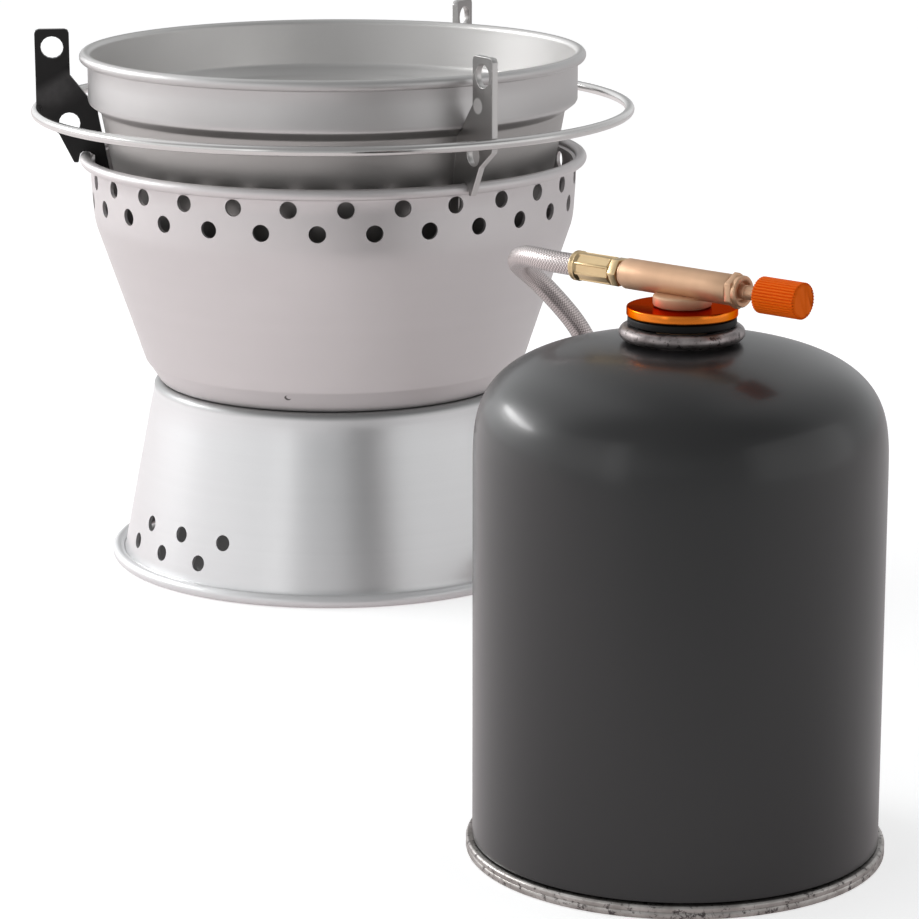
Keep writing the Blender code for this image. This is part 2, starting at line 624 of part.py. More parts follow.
def burner(cooker, brass, steel):
    """Mixing tube, the nut that clamps it, the jet in its foot, and the burner cup with its cap."""
    flange_foot = BRACKET_TOP + GAP
    flange_top = flange_foot + TUBE_FLANGE
    tube_foot = ELBOW_TOP + GAP
    tube_top = flange_foot + TUBE_ABOVE_BRACKET
    bore = TUBE_R - TUBE_WALL
    outline = [
        (TUBE_R, tube_top),
        (TUBE_R, flange_top),
        (TUBE_FLANGE_R, flange_top),
        (TUBE_FLANGE_R, flange_foot),
        (TUBE_R, flange_foot),
        (TUBE_R, tube_foot),
        (bore, tube_foot),
        (bore, tube_top),
    ]
    tube = lathe("mixing_tube", outline, cooker, brass)
    air_z = tube_foot + TUBE_AIR_ABOVE_ELBOW
    air = []
    for i in range(TUBE_AIR_HOLES):
        place = radial(45 + i * 360 / TUBE_AIR_HOLES, TUBE_R, air_z)
        air.append((place, TUBE_AIR_HOLE_R, 4 * TUBE_WALL))
    cut(tube, rods("tube_air_cutter", air, cooker, 8))

    nut_top = BRACKET_FOOT - GAP
    nut_foot = nut_top - BURNER_NUT_HEIGHT
    nut = prism("burner_nut", prism_outline(6, BURNER_NUT_R), nut_foot, nut_top, cooker, brass)
    nut_bore = [(Matrix.Translation((0, 0, nut_top)), TUBE_R + GAP, BORE_CUTTER)]
    cut(nut, rods("burner_nut_cutter", nut_bore, cooker, SMALL_SEGMENTS))

    cup_foot = flange_top + GAP
    floor = cup_foot + CUP_HUB_HEIGHT
    cup_top = cup_foot + CUP_HEIGHT
    cup_outline = [
        (CUP_R, cup_top),
        (CUP_R, floor + 2 * SHEET),
        (CUP_R - 2 * SHEET, floor),
        (CUP_HUB_R, floor - SHEET),
        (CUP_HUB_R, cup_foot),
        (TUBE_R + GAP, cup_foot),
        (TUBE_R + GAP, floor),
        (CUP_R - 3 * SHEET, floor + SHEET),
        (CUP_R - SHEET, floor + 3 * SHEET),
        (CUP_R - SHEET, cup_top),
    ]
    lathe("burner_cup", cup_outline, cooker, steel, 24)
    skirt_r = CUP_R - SHEET - GAP
    cap_foot = cup_top + GAP
    cap_outline = [
        (0.0, cap_foot + CAP_THICKNESS),
        (CUP_R, cap_foot + CAP_THICKNESS),
        (CUP_R, cap_foot),
        (skirt_r, cap_foot),
        (skirt_r, cup_top - CAP_SKIRT),
        (skirt_r - SHEET, cup_top - CAP_SKIRT),
        (skirt_r - SHEET, cap_foot),
        (0.0, cap_foot),
    ]
    cap = lathe("burner_cap", cap_outline, cooker, brass, 24)
    ports = []
    for i in range(CAP_PORTS):
        turn = Matrix.Rotation(2 * math.pi * i / CAP_PORTS, 4, "Z")
        place = turn @ Matrix.Translation((CAP_PORT_CIRCLE, 0, cap_foot))
        ports.append((place, CAP_PORT_R, WALL_CUTTER))
    cut(cap, rods("cap_port_cutter", ports, cooker, 6))


def elbow_and_jet(cooker, brass):
    """Block under the mixing tube that turns the gas upwards through the jet."""
    low = ELBOW_HOSE_Z - ELBOW_BELOW_HOSE
    made = lathe("burner_elbow", rod_outline(ELBOW_R, low, ELBOW_TOP), cooker, brass)
    stub = radial(HOSE_OPENING_AZIMUTH, ELBOW_REACH / 2, ELBOW_HOSE_Z)
    cut(made, rods("elbow_stub", [(stub, ELBOW_STUB_R, ELBOW_REACH)], cooker, 12), "UNION")
    rise = ELBOW_TOP - ELBOW_HOSE_Z + 2 * MM
    gas_up = Matrix.Translation((0, 0, ELBOW_HOSE_Z + rise / 2))
    seat = Matrix.Translation((0, 0, ELBOW_TOP))
    cut(made, rods("elbow_gas_in", [(stub, GAS_BORE_R, ELBOW_REACH + 2 * MM)], cooker, 8))
    cut(made, rods("elbow_gas_up", [(gas_up, GAS_BORE_R - GAP, rise)], cooker, 8))
    cut(made, rods("elbow_jet_seat", [(seat, JET_R + GAP, JET_HEIGHT)], cooker, 16))
    jet_foot = ELBOW_TOP - JET_HEIGHT / 2 + GAP
    outline = [
        (JET_R / 2, jet_foot + JET_HEIGHT),
        (JET_R, jet_foot + 0.7 * JET_HEIGHT),
        (JET_R, jet_foot),
        (JET_BORE_R, jet_foot),
        (JET_BORE_R, jet_foot + JET_HEIGHT),
    ]
    lathe("burner_jet", outline, cooker, brass, 16)


def hose_end(prefix, frame, start, brass):
    """Hexagon nut and crimped ferrule along local Z, from the end of the fitting they screw on."""
    nut_end = start + HOSE_NUT_LENGTH
    nut = prism(prefix + "_nut", prism_outline(6, HOSE_NUT_R), start, nut_end, frame, brass)
    middle = Matrix.Translation((0, 0, start))
    cut(nut, rods(prefix + "_nut_cutter", [(middle, GAS_BORE_R, BORE_CUTTER)], frame, 8))
    low = nut_end + GAP
    high = low + FERRULE_LENGTH
    shoulder = high - FERRULE_COLLAR
    outline = [
        (FERRULE_COLLAR_R, high),
        (FERRULE_COLLAR_R, shoulder),
        (FERRULE_R, shoulder),
        (FERRULE_R, low),
        (GAS_BORE_R, low),
        (GAS_BORE_R, high),
    ]
    lathe(prefix + "_ferrule", outline, frame, brass, 16)


def smooth_curve(route, start, end, step):
    """Points at an even step on one smooth curve through the route, leaving and arriving straight."""
    points = np.array(route)
    gaps = np.linalg.norm(np.diff(points, axis=0), axis=1)
    count = len(points)
    matrix = np.eye(count)
    right = np.zeros((count, 3))
    right[0], right[-1] = start, end
    for i in range(1, count - 1):
        before, after = gaps[i - 1], gaps[i]
        matrix[i, i - 1 : i + 2] = after, 2 * (before + after), before
        arriving = (points[i] - points[i - 1]) / before
        leaving = (points[i + 1] - points[i]) / after
        right[i] = 3 * (after * arriving + before * leaving)
    slopes = np.linalg.solve(matrix, right)
    fine = []
    for i, h in enumerate(gaps):
        for t in np.linspace(0, 1, 40, endpoint=False):
            fine.append(
                points[i] * (1 + 2 * t) * (1 - t) ** 2
                + slopes[i] * h * t * (1 - t) ** 2
                + points[i + 1] * t * t * (3 - 2 * t)
                + slopes[i + 1] * h * t * t * (t - 1)
            )
    fine = np.array(fine + [points[-1]])
    along = np.concatenate([[0], np.cumsum(np.linalg.norm(np.diff(fine, axis=0), axis=1))])
    stops = np.linspace(0, along[-1], round(along[-1] / step) + 1)
    return [Vector([np.interp(s, along, fine[:, k]) for k in range(3)]) for s in stops], along[-1]


def hose(cooker, finish):
    """Braided hose from the ferrule at the valve, down behind the canister, to the burner's ferrule."""
    valve_turn = math.radians(VALVE_TURN)
    away = Vector((-math.cos(valve_turn), math.sin(valve_turn), 0))
    start = Vector((CANISTER_RIGHT, -CANISTER_FRONT, BARREL_Z)) + away * (FERRULE_END + GAP)
    opening_turn = math.radians(HOSE_OPENING_AZIMUTH)
    outwards = Vector((math.sin(opening_turn), -math.cos(opening_turn), 0))
    end = outwards * (BURNER_FERRULE_END + GAP) + Vector((0, 0, ELBOW_HOSE_Z))
    straight = 2 * HOSE_R
    route = [start, start + away * straight] + HOSE_ROUTE + [end + outwards * straight, end]
    points, length = smooth_curve(route, away, -outwards, HOSE_STEP)
    curve = bpy.data.curves.new("hose", "CURVE")
    curve.dimensions = "3D"
    curve.bevel_depth = HOSE_R
    curve.bevel_resolution = 2
    curve.use_fill_caps = True
    spline = curve.splines.new("POLY")
    spline.points.add(len(points) - 1)
    for point, place in zip(spline.points, points):
        point.co = (*place, 1.0)
    curve.materials.append(finish)
    made = bpy.data.objects.new("hose", curve)
    bpy.context.scene.collection.objects.link(made)
    made.parent = cooker
    print(f"hose {length * 1000:.0f} mm in {len(points)} points")


def dome_z(radius):
    """Height of the canister's shoulder above a radius."""
    share = (radius / CANISTER_R) ** CANISTER_DOME_POWER
    return CANISTER_SHOULDER_Z + CANISTER_DOME_HEIGHT * (1 - share) ** (1 / CANISTER_DOME_ROOT)


def canister(axis, paint, tin, steel, seal):
    """Painted shell, seamed base, mounting cup with the threaded neck, and the valve core inside."""
    shell_foot = SEAM_HEIGHT + GAP
    shares = (0.995, 0.975, 0.94, 0.89, 0.82, 0.72, 0.58, 0.42)
    shoulder = [(CANISTER_R * share, dome_z(CANISTER_R * share)) for share in shares]
    mouth_z = dome_z(CANISTER_MOUTH_R)
    inside = [(r - CANISTER_WALL, z - CANISTER_WALL) for r, z in shoulder[::2]]
    outline = [(CANISTER_MOUTH_R, mouth_z)] + list(reversed(shoulder))
    outline += [(CANISTER_R, CANISTER_SHOULDER_Z), (CANISTER_R, shell_foot)]
    outline += [(CANISTER_R - CANISTER_WALL, shell_foot)]
    outline += [(CANISTER_R - CANISTER_WALL, CANISTER_SHOULDER_Z)]
    outline += inside + [(CANISTER_MOUTH_R, mouth_z - CANISTER_WALL)]
    lathe("canister_shell", outline, axis, paint, CANISTER_SEGMENTS)

    seam_in = SEAM_R - SEAM_WIDTH
    base_outline = [
        (0.0, BASE_DISH + CANISTER_WALL),
        (0.5 * CANISTER_R, 0.8 * BASE_DISH + CANISTER_WALL),
        (seam_in - CANISTER_WALL, 0.35 * BASE_DISH + CANISTER_WALL),
        (seam_in, SEAM_HEIGHT),
        (SEAM_R - SEAM_ROUND, SEAM_HEIGHT),
        (SEAM_R, 0.75 * SEAM_HEIGHT),
        (SEAM_R, 0.25 * SEAM_HEIGHT),
        (SEAM_R - SEAM_ROUND, 0.0),
        (seam_in + CANISTER_WALL, 0.0),
        (seam_in - CANISTER_WALL, 0.35 * BASE_DISH),
        (0.5 * CANISTER_R, 0.8 * BASE_DISH),
        (0.0, BASE_DISH),
    ]
    lathe("canister_base", base_outline, axis, tin, CANISTER_SEGMENTS)

    cup_in = COLLAR_CUP_R - SHEET
    bead = arc(COLLAR_BEAD_R, COLLAR_Z, COLLAR_BEAD_TUBE, -90, 90, 6)
    collar_outline = list(reversed(bead)) + [
        (COLLAR_CUP_R, COLLAR_Z - COLLAR_BEAD_TUBE),
        (COLLAR_CUP_R, CUP_FLOOR_Z),
        (NECK_BORE_R, CUP_FLOOR_Z),
        (NECK_BORE_R, NECK_TOP),
        (NECK_THREAD_R, NECK_TOP),
        (NECK_THREAD_R, CUP_FLOOR_Z + SHEET),
        (cup_in, CUP_FLOOR_Z + SHEET),
        (cup_in, COLLAR_Z),
        (COLLAR_CUP_R, COLLAR_TOP - 0.2 * COLLAR_BEAD_TUBE),
    ]
    lathe("canister_collar", collar_outline, axis, tin)

    core_r = NECK_BORE_R - GAP
    core_low = CUP_FLOOR_Z + GAP
    core_high = NECK_TOP - SHEET
    core = tube_outline(CORE_BORE_R, core_r, core_low, core_high)
    lathe("canister_valve_core", core, axis, seal, 16)
    pin_top = NECK_TOP - CORE_PIN_BELOW_NECK
    pin_outline = [
        (0.0, pin_top),
        (CORE_PIN_R, pin_top),
        (CORE_PIN_R, core_low - GAP),
        (core_r, core_low - GAP),
        (core_r, core_low - SHEET),
        (0.0, core_low - SHEET),
    ]
    lathe("canister_valve_pin", pin_outline, axis, steel, 16)


def valve(axis, cooker, bronze, brass, orange, anodised, black):
    """Valve screwed on the canister: stem, boss and barrel in one, with its disc, seals and spindle."""
    turn = -math.radians(VALVE_TURN)
    along = empty("barrel_axis", (0, 0, BARREL_Z), axis)
    along.rotation_euler = (0, math.pi / 2, turn)
    socket_r = NECK_THREAD_R + SOCKET_CLEARANCE
    stem_foot = CUP_FLOOR_Z + SHEET + GAP
    boss_top = BOSS_Z + BOSS_HEIGHT
    outline = [
        (0.0, boss_top),
        (BOSS_R, boss_top),
        (BOSS_R, BOSS_Z),
        (STEM_R, BOSS_Z),
        (STEM_R, stem_foot),
        (socket_r, stem_foot),
        (socket_r, SOCKET_TOP),
        (0.0, SOCKET_TOP),
    ]
    body = lathe("valve_body", outline, axis, bronze, 24)
    length = BARREL_LEFT + BARREL_RIGHT
    middle = Matrix.Translation((0, 0, (BARREL_RIGHT - BARREL_LEFT) / 2))
    cut(body, rods("valve_barrel", [(middle, BARREL_R, length)], along, 20), "UNION")
    left = Matrix.Translation((0, 0, -BARREL_LEFT / 2))
    cut(body, rods("barrel_gas_cutter", [(left, GAS_BORE_R, BARREL_LEFT + MM)], along, 8))
    right = Matrix.Translation((0, 0, BARREL_RIGHT / 2 + MM))
    cut(body, rods("barrel_spindle_cutter", [(right, BARREL_BORE_R, BARREL_RIGHT)], along, 12))
    rise = BARREL_Z - SOCKET_TOP
    up = Matrix.Translation((0, 0, SOCKET_TOP + rise / 2))
    cut(body, rods("stem_gas_cutter", [(up, GAS_BORE_R, rise + MM)], axis, 10))

    opener_top = SOCKET_TOP + rise / 2
    opener_foot = NECK_TOP - CORE_PIN_BELOW_NECK + GAP
    opener = [
        (0.0, opener_top),
        (GAS_BORE_R - GAP, opener_top),
        (GAS_BORE_R - GAP, SOCKET_TOP),
        (OPENER_R, SOCKET_TOP),
        (OPENER_R, opener_foot),
        (0.0, opener_foot),
    ]
    lathe("valve_opener_pin", opener, axis, brass, 12)
    seal_low = NECK_TOP + GAP
    seal_outline = tube_outline(SEAL_BORE_R, NECK_THREAD_R - GAP, seal_low, seal_low + SEAL_THICKNESS)
    lathe("neck_seal", seal_outline, axis, black, 20)
    bore = STEM_R + GAP
    gasket_outline = tube_outline(bore, GASKET_R, GASKET_Z, GASKET_Z + GASKET_THICKNESS)
    lathe("valve_gasket", gasket_outline, axis, black, 24)
    disc_outline = tube_outline(bore, DISC_R, DISC_Z, DISC_Z + DISC_THICKNESS)
    lathe("valve_disc", disc_outline, axis, anodised, 28)

    nut_start = BARREL_RIGHT + GAP
    nut_end = nut_start + PACKING_NUT_LENGTH
    nut = prism("packing_nut", prism_outline(6, PACKING_NUT_R, 0.5), nut_start, nut_end, along, bronze)
    collar = Matrix.Translation((0, 0, nut_end))
    cut(nut, rods("packing_collar", [(collar, PACKING_COLLAR_R, 2 * PACKING_COLLAR)], along, 16), "UNION")
    inner = Matrix.Translation((0, 0, nut_start - PACKING_COLLAR))
    cut(nut, rods("packing_neck", [(inner, BARREL_BORE_R - GAP, 4 * PACKING_COLLAR)], along, 12), "UNION")
    cut(nut, rods("packing_bore", [(collar, SPINDLE_R + GAP / 2, BORE_CUTTER)], along, 12))

    needle = BARREL_RIGHT - SPINDLE_INSIDE
    spindle_outline = [
        (0.0, KNOB_START + SPINDLE_IN_KNOB),
        (SPINDLE_R, KNOB_START + SPINDLE_IN_KNOB),
        (SPINDLE_R, needle + 2 * SPINDLE_R),
        (0.0, needle),
    ]
    lathe("spindle", spindle_outline, along, brass, 12)

    corners = []
    for i in range(2 * KNOB_GROOVES):
        angle = math.pi * i / KNOB_GROOVES
        radius = KNOB_R - (i % 2) * KNOB_GROOVE_DEPTH
        corners.append((radius * math.cos(angle), radius * math.sin(angle)))
    knob = prism("knob", corners, KNOB_START, KNOB_START + KNOB_LENGTH, along, orange)
    face = Matrix.Translation((0, 0, KNOB_START))
    knob_bore = SPINDLE_R + GAP
    cut(knob, rods("knob_cutter", [(face, knob_bore, 2 * (SPINDLE_IN_KNOB + GAP))], along, 12))

    hose_side = empty("hose_side", (0, 0, BARREL_Z), axis)
    hose_side.rotation_euler = (0, -math.pi / 2, turn)
    hose_end("valve_hose", hose_side, BARREL_LEFT + GAP, brass)
    burner_side = empty("burner_side", (0, 0, ELBOW_HOSE_Z), cooker)
    burner_side.rotation_euler = (0, math.pi / 2, math.radians(HOSE_OPENING_AZIMUTH - 90))
    hose_end("burner_hose", burner_side, BURNER_NUT_START, brass)


def clear_scene():
    for item in list(bpy.data.objects):
        bpy.data.objects.remove(item, do_unlink=True)


def main():
    clear_scene()
    spun = material("spun_aluminium", (0.62, 0.61, 0.60), 0.38, 1.0)
    bright = material("bright_aluminium", (0.74, 0.74, 0.73), 0.30, 1.0)
    steel = material("polished_steel", (0.56, 0.56, 0.57), 0.18, 1.0)
    black = material("black_steel", (0.02, 0.02, 0.021), 0.45, 0.0)
    brass = material("brass", (0.72, 0.55, 0.28), 0.28, 1.0)
    bronze = material("bronze", (0.70, 0.47, 0.32), 0.35, 1.0)
    braid = material("steel_braid", (0.42, 0.39, 0.39), 0.40, 1.0)
    orange = material("orange_knob", (0.62, 0.12, 0.02), 0.42, 0.0)
    anodised = material("orange_anodised", (0.72, 0.18, 0.03), 0.30, 0.8)
    rubber = material("black_rubber", (0.02, 0.02, 0.02), 0.60, 0.0)
    paint = material("charcoal_paint", (0.045, 0.045, 0.047), 0.38, 0.0)
    tin = material("tinned_steel", (0.50, 0.49, 0.48), 0.32, 1.0)

    cooker = empty("cooker_axis", (COOKER_X, COOKER_Y, 0))
    canister_axis = empty("canister_axis", (CANISTER_X, CANISTER_Y, 0))
    lower_windshield(cooker, bright)
    upper_windshield(cooker, spun)
    pot(cooker, spun)
    support_ring(cooker, steel)
    supports(cooker, black, steel)
    burner_bracket(cooker, steel)
    burner(cooker, brass, steel)
    elbow_and_jet(cooker, brass)
    hose(cooker, braid)
    canister(canister_axis, paint, tin, steel, rubber)
    valve(canister_axis, cooker, bronze, brass, orange, anodised, rubber)
    bpy.context.view_layer.update()


main()
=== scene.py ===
# %% [markdown]
# # Storm cooker with its gas canister
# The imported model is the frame: every piece below sits on it and moves with one of its
# bodies. Two turning axes matter, the cooker's and the canister's, so both are written
# down once. Blender counts in metres; outlines are written in millimetres, times MM.

# %% Load the frame
import math

import bmesh
import bpy
import numpy as np
from mathutils import Matrix, Vector


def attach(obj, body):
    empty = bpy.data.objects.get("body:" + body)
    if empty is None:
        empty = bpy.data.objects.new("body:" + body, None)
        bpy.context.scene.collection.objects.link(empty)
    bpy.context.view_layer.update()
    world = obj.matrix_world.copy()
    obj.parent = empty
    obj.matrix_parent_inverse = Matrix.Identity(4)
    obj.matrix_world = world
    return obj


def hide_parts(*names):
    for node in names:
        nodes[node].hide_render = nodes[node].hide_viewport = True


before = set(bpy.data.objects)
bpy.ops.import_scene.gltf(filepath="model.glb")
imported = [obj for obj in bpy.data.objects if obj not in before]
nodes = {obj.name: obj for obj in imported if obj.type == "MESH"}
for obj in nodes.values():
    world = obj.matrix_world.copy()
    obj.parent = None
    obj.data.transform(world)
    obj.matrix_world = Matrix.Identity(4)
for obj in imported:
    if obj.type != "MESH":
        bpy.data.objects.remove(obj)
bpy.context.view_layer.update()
MM = 0.001
COOKER = Vector((-27.32, 131.945, 0.0)) * MM
CANISTER = Vector((74.82, -179.445, 0.0)) * MM
scene = bpy.context.scene
print("frame with", len(nodes), "nodes")

# %% [markdown]
# ## Camera
# The photograph looks down a little from about a metre away, with a long lens, so the
# rims are flat ellipses. A constraint could aim the camera at the object, but plain
# numbers are easier to fit to a photograph. It is level from side to side, without shift.

# %% Camera
LOOKING_DOWN = 0.238
camera_data = bpy.data.cameras.new("camera")
camera_data.sensor_width = 36.0
camera_data.lens = 139.36
camera = bpy.data.objects.new("camera", camera_data)
camera.location = (16.36 * MM, -1095.90 * MM, 330.40 * MM)
camera.rotation_euler = (math.pi / 2 - LOOKING_DOWN, 0.0, 0.0)
scene.collection.objects.link(camera)
scene.camera = camera
print(f"camera {camera.location.length:.2f} m from the middle, lens {camera_data.lens:.0f} mm")

# %% [markdown]
# ## The braided hose
# A hose is a fixed length of something flexible. This one is stiff for its thickness: it
# leaves the valve straight, turns down in one bow, lies on the ground and rises into the
# windshield. Its line is one smooth curve through listed points, the same ones as the
# solid's, so it lies exactly where the solid does. A curve object could carry it, but the
# tube is built from its points and its length as numbers. The braid comes later, on a finer
# tube along the same line.

# %% The hose's line
HOSE_R = 3.0 * MM
VALVE_TURN = math.radians(42.0)
OPENING_TURN = math.radians(50.0)
BARREL_Z = 155.9 * MM
BURNER_HOSE_Z = 17.0 * MM
VALVE_FERRULE_END = 36.8 * MM
BURNER_FERRULE_END = 31.1 * MM
HOSE_STEP = 0.5 * MM
SAMPLES = 60
hose_away = Vector((-math.cos(VALVE_TURN), math.sin(VALVE_TURN), 0.0))
hose_out = Vector((math.sin(OPENING_TURN), -math.cos(OPENING_TURN), 0.0))
hose_start = CANISTER + Vector((0, 0, BARREL_Z)) + hose_away * VALVE_FERRULE_END
hose_end = COOKER + Vector((0, 0, BURNER_HOSE_Z)) + hose_out * BURNER_FERRULE_END
HOSE_ROUTE = [
    (61.4, -268.1, 154.8),
    (60.4, -255.3, 150.3),
    (64.5, -246.0, 145.0),
    (71.2, -238.8, 136.9),
    (78.6, -231.1, 125.9),
    (85.2, -226.6, 110.0),
    (90.8, -222.4, 90.0),
    (94.8, -217.8, 65.0),
    (96.9, -211.5, 39.0),
    (97.4, -199.0, 17.0),
    (96.6, -178.0, 5.6),
    (95.4, -150.0, 3.3),
    (94.6, -122.0, 3.3),
    (91.2, -96.0, 3.5),
    (82.0, -74.0, 5.2),
    (69.4, -59.4, 9.0),
    (55.4, -46.8, 13.4),
    (40.0, -33.7, 16.6),
]


def smooth_line(route, start, end, step):
    """Points at an even step on one smooth curve through the route, and its length."""
    points = np.array([list(p) for p in route])
    gaps = np.linalg.norm(np.diff(points, axis=0), axis=1)
    matrix = np.eye(len(points))
    right = np.zeros((len(points), 3))
    right[0], right[-1] = start, end
    for i in range(1, len(points) - 1):
        before, after = gaps[i - 1], gaps[i]
        matrix[i, i - 1 : i + 2] = after, 2 * (before + after), before
        arriving = (points[i] - points[i - 1]) / before
        leaving = (points[i + 1] - points[i]) / after
        right[i] = 3 * (after * arriving + before * leaving)
    slopes = np.linalg.solve(matrix, right)
    fine = []
    for i, h in enumerate(gaps):
        for t in np.linspace(0, 1, SAMPLES, endpoint=False):
            fine.append(
                points[i] * (1 + 2 * t) * (1 - t) ** 2
                + slopes[i] * h * t * (1 - t) ** 2
                + points[i + 1] * t * t * (3 - 2 * t)
                + slopes[i + 1] * h * t * t * (t - 1)
            )
    fine = np.array(fine + [points[-1]])
    along = np.concatenate([[0], np.cumsum(np.linalg.norm(np.diff(fine, axis=0), axis=1))])
    stops = np.linspace(0, along[-1], round(along[-1] / step) + 1)
    line = [Vector([np.interp(s, along, fine[:, k]) for k in range(3)]) for s in stops]
    return line, float(along[-1])


straight = 2 * HOSE_R
hose_route = [hose_start, hose_start + hose_away * straight]
hose_route += [COOKER + Vector(p) * MM for p in HOSE_ROUTE]
hose_route += [hose_end + hose_out * straight, hose_end]
hose_line, hose_length = smooth_line(hose_route, hose_away, -hose_out, HOSE_STEP)
print(f"hose {hose_length * 1000:.0f} mm, {len(hose_line)} rings")

# %% [markdown]
# ## Building node trees
# The light, the floor and all the finishes are node trees. One helper adds a node, feeds
# its inputs in their order and gives back one output. The other helpers call it.

# %% Node helpers


def add_node(tree, kind, *values, output=0, **settings):
    """Adds a node; each value is a number, a vector or a socket to link from, or None to skip."""
    made = tree.nodes.new("ShaderNode" + kind)
    for name, value in settings.items():
        setattr(made, name, value)
    for value, socket in zip(values, made.inputs):
        if isinstance(value, bpy.types.NodeSocket):
            tree.links.new(value, socket)
        elif value is not None:
            socket.default_value = value
    return made.outputs[output]


def maths(tree, operation, *values, clamp=False):
    """A Math node's result."""
    return add_node(tree, "Math", *values, operation=operation, use_clamp=clamp)


def vector_maths(tree, operation, *values, output="Vector"):
    """A Vector Math node's result, which is its Value where the operation gives a number."""
    return add_node(tree, "VectorMath", *values, operation=operation, output=output)


def part(tree, axis, vector):
    """One part of a vector: X, Y or Z."""
    return add_node(tree, "SeparateXYZ", vector, output=axis)


def ramp(tree, source, low, high, at_low, at_high, how="SMOOTHSTEP"):
    """A change from one value to another as the source goes from low to high."""
    return add_node(tree, "MapRange", source, low, high, at_low, at_high, interpolation_type=how)


# %% [markdown]
# ## Light and floor
# The photograph is taken in a soft light on white paper, and metal shows what stands
# round it more than its own colour. The room is a little dimmer high up, brighter at both
# sides behind the object, and brighter on the left than on the right. Broad lamps stand
# low on both sides, with a gap between them at the camera, which makes the dark upright
# band on the bright metal. A picture of a studio could light it too, but lamps can be moved
# one by one. Each broad lamp is a wide and a narrow layer, so its edge is soft, and a
# narrow strip at the left of the gap makes that side of the band crisper. A dim lamp lights
# the left side, a small bright one there gives the spark on the canister, and another its
# halo.

# %% World
WHITE = (1.0, 1.0, 1.0, 1.0)
scene.view_settings.view_transform = "Standard"
scene.world = bpy.data.worlds.new("studio")
scene.world.use_nodes = True
sky = scene.world.node_tree
looking = add_node(sky, "TexCoord", output="Generated")
rightwards = part(sky, "X", looking)
sides = ramp(sky, maths(sky, "ABSOLUTE", rightwards), 0.04, 0.35, 0.0, 1.0)
behind = ramp(sky, part(sky, "Y", looking), -0.3, 0.3, 0.0, 0.55)
by_height = ramp(sky, part(sky, "Z", looking), 0.15, 0.50, 0.58, 0.42)
by_side = ramp(sky, rightwards, -1.0, 1.0, 1.25, 0.62)
bright = maths(sky, "MULTIPLY", maths(sky, "MULTIPLY_ADD", sides, behind, by_height), by_side)
room = sky.nodes["Background"]
room.inputs["Color"].default_value = (0.98, 0.99, 1.0, 1.0)
sky.links.new(bright, room.inputs["Strength"])
paper = add_node(sky, "Background", WHITE, 1.0)
to_camera = add_node(sky, "LightPath", output="Is Camera Ray")
shown = add_node(sky, "MixShader", to_camera, room.outputs["Background"], paper)
sky.links.new(shown, sky.nodes["World Output"].inputs["Surface"])
print("room:", len(sky.nodes), "nodes")

# %% Lamps
SOFT_EDGE = 0.12
LAYER_GAP = 0.04
BROAD_LAMPS = [("left_front", -55, 1.30, 1.40, 0.38), ("right", 66, 1.40, 1.75, 0.56)]


def softbox(
    name, azimuth, distance, width, glow, height=0.45, tall=0.90, aim=0.35, shape="RECTANGLE"
):
    """A flat lamp of a given brightness; azimuth 0 is at the camera, positive to the right."""
    lamp = bpy.data.lights.new(name, "AREA")
    lamp.shape = shape
    lamp.size = width
    lamp.size_y = tall
    lamp.energy = math.pi * width * tall * glow
    made = bpy.data.objects.new(name, lamp)
    turn = math.radians(azimuth)
    made.location = (distance * math.sin(turn), -distance * math.cos(turn), height)
    towards = Vector((0.0, 0.0, aim)) - made.location
    made.rotation_euler = towards.to_track_quat("-Z", "Y").to_euler()
    scene.collection.objects.link(made)


for lamp_name, azimuth, distance, width, glow in BROAD_LAMPS:
    softbox(lamp_name + "_wide", azimuth, distance + LAYER_GAP, (1 + SOFT_EDGE) * width, glow / 2)
    softbox(lamp_name + "_narrow", azimuth, distance, (1 - SOFT_EDGE) * width, glow / 2)
softbox("left_edge", -31, 1.26, 0.26, 0.42)
softbox("left", -110, 1.40, 1.50, 0.16, height=0.50, tall=1.00)
softbox("spark", -111, 1.26, 0.92, 11.0, height=0.62, tall=0.16, aim=0.12, shape="ELLIPSE")
softbox("spark_halo", -110, 1.28, 1.20, 1.2, height=0.60, tall=0.36, aim=0.12, shape="ELLIPSE")

# %% [markdown]
# The paper glows a little to the camera, so it comes out white but for a faint shadow. The
# metal sees a warm glow in it, stronger on the left, that fades towards the camera. Under
# the lower windshield the paper hardly glows, so the air holes look into the dark.

# %% Floor
floor_mesh = bpy.data.meshes.new("floor")
floor_bm = bmesh.new()
bmesh.ops.create_grid(floor_bm, x_segments=2, y_segments=2, size=6.0)
floor_bm.to_mesh(floor_mesh)
floor_bm.free()
floor = bpy.data.objects.new("floor", floor_mesh)
scene.collection.objects.link(floor)
floor_paper = bpy.data.materials.new("floor_paper")
floor_paper.use_nodes = True
ground = floor_paper.node_tree
sheet = ground.nodes["Principled BSDF"]
sheet.inputs["Base Color"].default_value = (0.72, 0.72, 0.72, 1.0)
sheet.inputs["Roughness"].default_value = 0.9
sheet.inputs["Specular IOR Level"].default_value = 0.1
on_floor = add_node(ground, "TexCoord", output="Object")
to_camera = add_node(ground, "LightPath", output="Is Camera Ray")
to_gloss = add_node(ground, "LightPath", output="Is Glossy Ray")
near = ramp(ground, part(ground, "Y", on_floor), -0.75, -0.30, 0.0, 1.0)
leftish = ramp(ground, part(ground, "X", on_floor), -0.20, 0.25, 0.40, 0.20)
from_cooker = vector_maths(ground, "DISTANCE", on_floor, COOKER, output="Value")
outside = ramp(ground, from_cooker, 0.073, 0.078, 0.08, 1.0)
in_gloss = maths(ground, "MULTIPLY", maths(ground, "MULTIPLY", near, leftish), to_gloss)
camera_glow = add_node(ground, "Emission", (0.56, 0.56, 0.56, 1.0), to_camera)
metal_glow = add_node(ground, "Emission", (1.0, 0.85, 0.86, 1.0), in_gloss)
glows = add_node(ground, "AddShader", camera_glow, metal_glow)
glowing = add_node(ground, "AddShader", sheet.outputs["BSDF"], glows)
